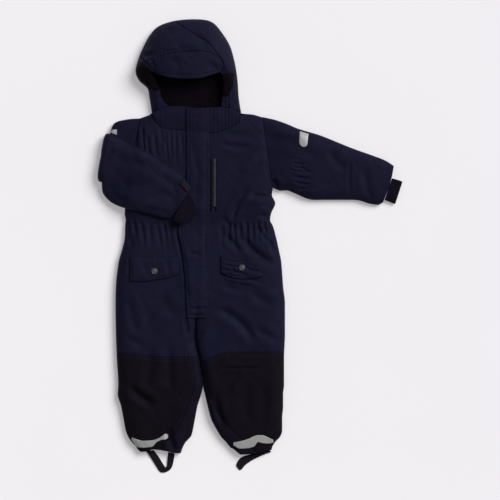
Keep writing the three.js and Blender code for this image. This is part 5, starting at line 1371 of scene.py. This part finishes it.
def flap_surface(x, y):
    """Relief of the storm flap and the distance from its edges: it is pressed along its two rows of stitches
    and at the stitched box at the waist, and swells between them."""
    right, left = read(FLAP, "y", y, "right"), read(FLAP, "y", y, "left")
    edge = np.minimum(np.minimum(x - right, left - x), np.minimum(FLAP_TOP - y, y - FLAP_FOOT))
    swell = 2.2 * MM * np.sin(np.pi * np.clip((x - right) / (left - right), 0, 1)) ** 0.7
    relief = swell + 0.8 * crumple(x, y, 131) - creases(x, y, FLAP_CREASES)
    relief = relief + pucker(edge, y, 133, 8 * MM, 0.9)
    relief = relief + groove(edge - FLAP_STITCH, 0.9 * MM, 1.6 * MM)
    relief = relief + groove(left - 9 * MM - x, 0.6 * MM, 1.5 * MM)
    return edge, relief


class SNOWSUIT_OT_storm_flap(bpy.types.Operator):
    """Storm flap over the front zip, from the chin to the crotch"""
    bl_idname = "snowsuit.storm_flap"
    bl_label = "Storm Flap"
    bl_options = {"REGISTER", "UNDO"}

    def execute(self, context):
        y = lerp(FLAP_TOP, FLAP_FOOT, lengths(452 * MM, 1.5 * MM))[:, None]
        u = (1 - np.cos(np.pi * lengths(62 * MM, 1.3 * MM))) / 2
        u = lerp(u, lengths(62 * MM, 1.3 * MM), 0.6)[None]
        x = lerp(read(FLAP, "y", y, "right"), read(FLAP, "y", y, "left"), u)
        y = np.broadcast_to(y, x.shape)
        ground = chest_ground((-165 * MM, -75 * MM), (-165 * MM, 305 * MM))
        edge, relief = flap_surface(x, y)
        flap = laid("storm_flap", x, y, ground, FLAP_THICK, edge, "woven_nylon", relief=relief)
        sheet(flap, "shell", "storm_flap")
        return {"FINISHED"}


class SNOWSUIT_OT_chest_pocket(bpy.types.Operator):
    """Chest pocket: two welts and the zip between them, with its teeth"""
    bl_idname = "snowsuit.chest_pocket"
    bl_label = "Chest Pocket"
    bl_options = {"REGISTER", "UNDO"}

    def execute(self, context):
        ground = chest_ground((-95 * MM, -55 * MM), (60 * MM, 200 * MM))
        y = lerp(POCKET_TOP, POCKET_FOOT, lengths(111 * MM, 1.4 * MM))[:, None]
        for name, start in (("chest_welt_right", POCKET_RIGHT), ("chest_welt_left", POCKET_LEFT - WELT)):
            u = np.linspace(0, 1, 13)[None]
            x = start + WELT * u + 0 * y
            edge = np.minimum(u, 1 - u) * WELT + 0 * y
            welt = laid(name, x, np.broadcast_to(y, x.shape), ground, WELT_THICK, edge, "woven_nylon",
                        1.6 * MM, 0.25 * MM * noise(y, 0 * y, 9 * MM, 141))
            sheet(welt, "shell", name)
        y = y[:-6]
        u = np.linspace(0, 1, 9)[None]
        x = lerp(POCKET_RIGHT + WELT + 0.3 * MM, POCKET_LEFT - WELT - 0.3 * MM, u) + 0 * y
        edge = np.minimum(u, 1 - u) * 6 * MM + 0 * y
        y = np.broadcast_to(y, x.shape)
        zip_tape = laid("chest_zip", x, y, ground, 1.4 * MM, edge, "zip_coil", 1 * MM)
        self.teeth(ground)
        sheet(zip_tape, "zip_tape", "chest_zip")
        return {"FINISHED"}

    def teeth(self, ground):
        """Two rows of teeth that mesh in turn: one small rounded bar, repeated up both sides."""
        pitch = sizes().tooth_pitch
        y = np.arange(POCKET_TOP - 3 * MM, POCKET_FOOT + 9 * MM, -pitch)
        centre = (POCKET_RIGHT + POCKET_LEFT) / 2
        x = np.concatenate([np.full(len(y), centre - 0.7 * MM), np.full(len(y), centre + 0.7 * MM)])
        y = np.concatenate([y, y - pitch / 2])
        z = np.maximum(ground(x, y), chest_top(x, y)) + LAY_GAP + 1.45 * MM
        across = np.tile([1.0, 0, 0], (len(x), 1))
        places = np.stack([x, y, z], axis=-1)
        teeth = beads("chest_zip_teeth", places, across, 2.6 * MM, 0.62 * MM, "zip_teeth")
        dress(teeth, "zip_tape")


def beads(name, places, directions, long, radius, kind):
    """Many small rounded bars in one mesh: a four-sided bar with two rings and two tips, copied to each place
    and turned along its direction."""
    ring = np.array([[0, 1], [1, 0], [0, -1], [-1, 0]])
    shape = np.concatenate([
        [[-0.5, 0, 0]], [[-0.28, a, b] for a, b in ring], [[0.28, a, b] for a, b in ring], [[0.5, 0, 0]],
    ])
    sides = np.arange(4)
    after = (sides + 1) % 4
    tips = np.concatenate([
        np.stack([0 * sides, 1 + sides, 1 + after], axis=1),
        np.stack([0 * sides + 9, 5 + after, 5 + sides], axis=1),
    ])
    bars = np.stack([1 + sides, 5 + sides, 5 + after, 1 + after], axis=1)
    forward = directions / np.linalg.norm(directions, axis=1, keepdims=True)
    side = np.cross([0, 0, 1.0], forward)
    side /= np.linalg.norm(side, axis=1, keepdims=True) + 1e-12
    up = np.cross(forward, side)
    points = (places[:, None] + shape[None, :, :1] * long * forward[:, None]
              + shape[None, :, 1:2] * radius * side[:, None] + shape[None, :, 2:] * radius * up[:, None])
    shift = (np.arange(len(places)) * len(shape))[:, None, None]
    faces = [(tips[None] + shift).reshape(-1, 3), (bars[None] + shift).reshape(-1, 4)]
    uv = np.broadcast_to((shape[:, :2] * [long, radius])[None], (len(places), 10, 2)).reshape(-1, 2)
    return make(name, points.reshape(-1, 3), faces, uv, [cloth(kind)])


class SNOWSUIT_OT_hip_pockets(bpy.types.Operator):
    """Hip pocket flaps and the snaps on them"""
    bl_idname = "snowsuit.hip_pockets"
    bl_label = "Hip Pocket Flaps"
    bl_options = {"REGISTER", "UNDO"}

    def execute(self, context):
        for half, rows in HIP_FLAPS.items():
            low, high = rows["x"].min(), rows["x"].max()
            x = lerp(low, high, lengths(high - low, 1.4 * MM))[:, None]
            u = lengths(50 * MM, 1.4 * MM)[None]
            top, foot = read(rows, "x", x, "top"), read(rows, "x", x, "bottom")
            y = lerp(top, foot, u)
            x = np.broadcast_to(x, y.shape)
            ground = chest_ground((low - 0.01, high + 0.01), (-90 * MM, -10 * MM))
            sides = np.minimum(x - low, high - x)
            edge = np.minimum(sides, y - foot)
            near = np.minimum(edge, top - y)
            relief = 0.7 * crumple(x, y, 151) - creases(x, y, HIP_CREASES)
            relief = relief + groove(edge - HIP_STITCH, 0.8 * MM, 1.5 * MM)
            relief = relief + pucker(near, x, 153, 7 * MM, 0.9) + 1.6 * MM * round_edge(near, 12 * MM)
            px, py = SNAPS[half]
            relief = relief - 1.6 * MM * np.exp(-((x - px) ** 2 + (y - py) ** 2) / (9 * MM) ** 2)
            flap = laid(f"hip_flap_{half}", x, y, ground, HIP_THICK, near, "woven_nylon", relief=relief)
            sheet(flap, "shell", f"hip_flap_{half}")
            self.snap(half, px, py, ground)
        return {"FINISHED"}

    def snap(self, half, px, py, ground):
        """A stamped cap: its profile turned once round, with a raised rim and a low dome."""
        t = np.linspace(0, len(SNAP_PROFILE["r"]) - 1, 60)[:, None]
        turn = np.linspace(0, 2 * np.pi, 48, endpoint=False)[None]
        r = np.maximum(station(SNAP_PROFILE, t, "r"), 0.01 * MM)
        z = np.maximum(ground(px, py), chest_top(np.array(px), np.array(py))) + LAY_GAP + HIP_THICK + 0.3 * MM
        grid = np.stack(np.broadcast_arrays(px + r * np.cos(turn), py + r * np.sin(turn),
                                            z + station(SNAP_PROFILE, t, "z")), axis=-1)
        rows, columns = grid.shape[:2]
        number = np.arange(rows * columns).reshape(rows, columns)
        faces = [quads(number, True), number[:1, ::-1], number[-1:]]
        uv = unrolled(grid).reshape(-1, 2)
        cap = make(f"snap_{half}", grid.reshape(-1, 3), faces, uv, [cloth("snap_cap")])
        dress(cap, "snap_metal", f"snap_{half}")


class SNOWSUIT_OT_reflectors(bpy.types.Operator):
    """Reflective shapes at the ankles and loops on the upper sleeves"""
    bl_idname = "snowsuit.reflectors"
    bl_label = "Reflectors"
    bl_options = {"REGISTER", "UNDO"}

    def execute(self, context):
        for half, rows in ANKLE_MARKS.items():
            low, high = rows["x"].min(), rows["x"].max()
            x = lerp(low, high, lengths(high - low, 0.9 * MM))[:, None]
            u = np.linspace(0, 1, 15)[None]
            top, foot = read(rows, "x", x, "top"), read(rows, "x", x, "bottom")
            y = lerp(top, foot, u)
            x = np.broadcast_to(x, y.shape)
            edge = np.minimum(np.minimum(top - y, y - foot), np.minimum(x - low, high - x))
            ground = chest_ground((low - 0.01, high + 0.01), (-445 * MM, -395 * MM), 0, 2 * MM)
            mark = laid(f"ankle_mark_{half}", x, y, lambda x, y, g=ground: g(x, y) + 0.6 * MM,
                        MARK_THICK, edge, "reflective_film", 1 * MM)
            sheet(mark, "reflective", f"ankle_mark_{half}")
        self.sleeve_loop()
        self.fold_loop()
        return {"FINISHED"}

    def sleeve_loop(self):
        """The loop on the left sleeve, from the overarm line, with a round far end."""
        k, j = np.linspace(0, 1, 40)[:, None], np.linspace(0, 1, 15)[None]
        narrow = np.sqrt(np.maximum(1 - np.clip((k - 0.7) / 0.305, 0, 1) ** 2, 0.02))
        s = lerp(SLEEVE_MARK["start"], SLEEVE_MARK["stop"], 0.5 + (j - 0.5) * narrow)
        u = 0.03 + SLEEVE_MARK["length"] * k / sleeve_chord(LEFT_SLEEVE, s, 0.5)[2]
        x, y, _ = left_sleeve_places(s, u)
        seat = left_sleeve_top(s, u) + LAY_GAP
        lift = SLEEVE_MARK["thick"] * (0.4 + 0.6 * np.sin(np.pi * j) ** 0.5 + 0 * k)
        faces = [np.stack(np.broadcast_arrays(x, y, z), axis=-1) for z in (seat + lift, seat)]
        loop = shell("sleeve_mark_left", *faces, [cloth("reflective_film")])
        sheet(loop, "reflective", "sleeve_mark_left")

    def fold_loop(self):
        """What shows of the loop on the right upper arm, next to the fold."""
        x = lerp(-299, -286, np.linspace(0, 1, 22))[:, None] * MM
        u = np.linspace(0, 1, 15)[None]
        y = lerp(read(FOLD_MARK, "x", x, "top"), read(FOLD_MARK, "x", x, "bottom"), u)
        x = np.broadcast_to(x, y.shape)
        over = read(STUB, "over_x", x, "over_y")
        seat = LOW + (STUB_TOP - LOW) * round_edge(over - y, SLEEVE_SOFT) + 1.2 * MM
        lift = 1.2 * MM * (0.4 + 0.6 * np.sin(np.pi * u) ** 0.5 + 0 * x)
        faces = [np.stack([x, y, z], axis=-1) for z in (seat + lift, seat)]
        loop = shell("sleeve_mark_right", *faces, [cloth("reflective_film")])
        sheet(loop, "reflective", "sleeve_mark_right")


class SNOWSUIT_OT_straps(bpy.types.Operator):
    """Foot straps and the tab at the right wrist"""
    bl_idname = "snowsuit.straps"
    bl_label = "Straps and Tab"
    bl_options = {"REGISTER", "UNDO"}

    def execute(self, context):
        for half, rows in STRAPS.items():
            t = np.linspace(0, len(rows["z"]) - 1, 90)[:, None]
            u = np.linspace(0, 1, 15)[None]
            x = lerp(station(rows, t, "out_x"), station(rows, t, "in_x"), u)
            y = lerp(station(rows, t, "out_y"), station(rows, t, "in_y"), u)
            z = station(rows, t, "z") + 0 * u
            rise = STRAP_THICK / 2 * (0.5 + 0.5 * np.sin(np.pi * u) ** 0.35)
            faces = [np.stack(np.broadcast_arrays(x, y, z + side * rise), axis=-1) for side in (1, -1)]
            strap = shell(f"foot_strap_{half}", *faces, [cloth("woven_webbing")])
            sheet(strap, "webbing", f"foot_strap_{half}")
        ground = folded_ground()
        s = lerp(WRIST_TAB["start"], WRIST_TAB["stop"], np.linspace(0, 1, 24))[:, None]
        u = lerp(WRIST_TAB["over"], WRIST_TAB["under"], np.linspace(0, 1, 24))[None]
        layers = folded_layers(ground, s, u)
        seat = layers["upper"] + LAY_GAP + 0.8 * MM
        ends = np.minimum(s - s[0], s[-1] - s) * FOLDED_LONG
        edge = np.minimum(ends, np.minimum(u - u[0, 0], u[0, -1] - u) * 80 * MM)
        top = seat + WRIST_TAB["thick"] * lerp(0.4, 1, round_edge(edge, 2 * MM))
        faces = [np.stack([layers["x"], layers["y"], z], axis=-1) for z in (top, seat)]
        tab = shell("wrist_tab_right", *faces, [cloth("woven_webbing")])
        sheet(tab, "webbing", "wrist_tab_right")
        return {"FINISHED"}


class SNOWSUIT_OT_stitching(bpy.types.Operator):
    """Rows of top stitching along the seams and edges"""
    bl_idname = "snowsuit.stitching"
    bl_label = "Top Stitching"
    bl_options = {"REGISTER", "UNDO"}

    def execute(self, context):
        rows = []

        def along(x, y, z):
            """One row: evenly spaced places along a line of points, and the directions there."""
            line = np.stack(np.broadcast_arrays(x, y, z), axis=-1)
            far = np.concatenate([[0], np.linalg.norm(np.diff(line, axis=0), axis=1).cumsum()])
            spots = np.arange(sizes().stitch_pitch / 2, far[-1], sizes().stitch_pitch)
            step = sizes().stitch / 2

            def at(d):
                """The point of the line at a distance along it."""
                return np.stack([np.interp(d, far, line[:, k]) for k in range(3)], axis=1)

            rows.append((at(spots), at(spots + step) - at(spots - step)))

        for offset in (2.4 * MM, 7 * MM):
            for start, stop in ((-281, -121), (-101, 69)):
                x = np.linspace(start, stop, 240) * MM
                y = read(KNEE_SEAM, "x", x, "y") - offset
                along(x, y, body_top(x, y) + 0.5 * MM)
        for start, stop in ((-208, -140), (-84, -24)):
            x = np.linspace(start, stop, 120) * MM
            y = read(NECKLINE, "x", x, "y") - 3 * MM
            along(x, y, body_top(x, y) + 0.1 * MM)
        self.flap_rows(along)
        self.hip_rows(along)
        self.hood_rows(along)
        for s in (0.02, 1 - HEM / LEFT_LONG):
            u = np.linspace(0.04, 0.96, 160)
            x, y, _ = left_sleeve_places(s + 0 * u, u)
            along(x, y, left_sleeve_top(s + 0 * u, u) + 0.1 * MM)
        u = np.linspace(0.05, 0.95, 120)
        layers = folded_layers(folded_ground(), 1 - HEM / FOLDED_LONG + 0 * u, u)
        along(layers["x"], layers["y"], layers["upper"] + 0.1 * MM)
        places = np.concatenate([r[0] for r in rows])
        directions = np.concatenate([r[1] for r in rows])
        long, thick = sizes().stitch, sizes().thread
        thread = beads("top_stitching", places, directions, long, thick, "sewing_thread")
        dress(thread, "shell")
        return {"FINISHED"}

    def flap_rows(self, along):
        """Along the storm flap's edges, and round the box at the waist."""
        ground = chest_ground((-165 * MM, -75 * MM), (-165 * MM, 305 * MM))
        y = np.linspace(FLAP_TOP - FLAP_STITCH, FLAP_FOOT + FLAP_STITCH, 600)
        right, left = read(FLAP, "y", y, "right"), read(FLAP, "y", y, "left")
        share = np.linspace(0, 1, 60)
        box = FLAP_BOX
        lines = [(right + FLAP_STITCH, y), (left - FLAP_STITCH, y)]
        lines += [(lerp(right[-1] + FLAP_STITCH, left[-1] - FLAP_STITCH, share), 0 * share + y[-1])]
        for row in (box["top"], box["foot"]):
            lines.append((lerp(box["right"], box["left"], share), 0 * share + row))
        lines.append((0 * share + box["right"], lerp(box["top"], box["foot"], share)))
        for x, y in lines:
            seat = np.maximum(ground(x, y), chest_top(x, y)) + LAY_GAP
            along(x, y, seat + FLAP_THICK + flap_surface(x, y)[1] + 0.1 * MM)

    def hip_rows(self, along):
        """Inside the edges of the hip pocket flaps."""
        for rows in HIP_FLAPS.values():
            low, high = rows["x"].min(), rows["x"].max()
            ground = chest_ground((low - 0.01, high + 0.01), (-90 * MM, -10 * MM))
            x = np.linspace(low + HIP_STITCH, high - HIP_STITCH, 160)
            foot = read(rows, "x", x, "bottom") + HIP_STITCH
            side = np.linspace(0, 1, 60)
            lines = [(x, foot)]
            for end in (0, -1):
                lines.append((0 * side + x[end], lerp(foot[end], rows["top"][end] - 2 * MM, side)))
            for x, y in lines:
                relief = 0.7 * crumple(x, y, 151) - creases(x, y, HIP_CREASES) + 0.2 * MM
                seat = np.maximum(ground(x, y), chest_top(x, y)) + LAY_GAP
                along(x, y, seat + HIP_THICK + relief)

    def hood_rows(self, along):
        """Above and below the brim's seam, and inside the opening's edge."""
        inside, beside = 7 * MM / HOOD_WAY, 0.043
        rows = ((inside, 5.4, 13.6), (BRIM_OUT - beside, 5.6, 12.9), (BRIM_OUT + beside, 5.6, 12.4))
        for out, start, stop in rows:
            at = np.linspace(start, stop, 500)
            line = hood_point(at, out + 0 * at)
            relief = 1.3 * crumple(line[:, 0], line[:, 1], 91 + (out > BRIM_OUT))
            relief = relief - creases(line[:, 0], line[:, 1], HOOD_CREASES)
            along(line[:, 0], line[:, 1], line[:, 2] + relief - 0.2 * MM)


OPERATORS = [
    SNOWSUIT_OT_stage, SNOWSUIT_OT_backs, SNOWSUIT_OT_fronts, SNOWSUIT_OT_legs, SNOWSUIT_OT_hood_back,
    SNOWSUIT_OT_hood, SNOWSUIT_OT_collar, SNOWSUIT_OT_left_sleeve, SNOWSUIT_OT_right_sleeve,
    SNOWSUIT_OT_cuffs, SNOWSUIT_OT_storm_flap, SNOWSUIT_OT_chest_pocket, SNOWSUIT_OT_hip_pockets,
    SNOWSUIT_OT_reflectors, SNOWSUIT_OT_straps, SNOWSUIT_OT_stitching,
]


class VIEW3D_PT_snowsuit(bpy.types.Panel):
    """Panel with the settings and one button for each piece"""
    bl_label = "Toddler Snowsuit"
    bl_space_type = "VIEW_3D"
    bl_region_type = "UI"
    bl_category = "Snowsuit"

    def draw(self, context):
        settings = context.scene.snowsuit
        for group in (settings.sizes, settings.colours, settings.stage):
            box = self.layout.box()
            for name in group.__annotations__:
                box.prop(group, name)
        for operator in OPERATORS:
            self.layout.operator(operator.bl_idname)


CLASSES = [SnowsuitSizes, SnowsuitColours, SnowsuitStage, SnowsuitSettings, *OPERATORS, VIEW3D_PT_snowsuit]


def register():
    """Adds the settings, the operators and the panel to Blender."""
    for item in CLASSES:
        bpy.utils.register_class(item)
    bpy.types.Scene.snowsuit = bpy.props.PointerProperty(type=SnowsuitSettings)


def unregister():
    """Takes them out again, the last first."""
    del bpy.types.Scene.snowsuit
    for item in reversed(CLASSES):
        bpy.utils.unregister_class(item)


def main():
    """Makes every piece in order."""
    register()
    for operator in OPERATORS:
        group, name = operator.bl_idname.split(".")
        getattr(getattr(bpy.ops, group), name)()


if __name__ == "__main__":
    main()
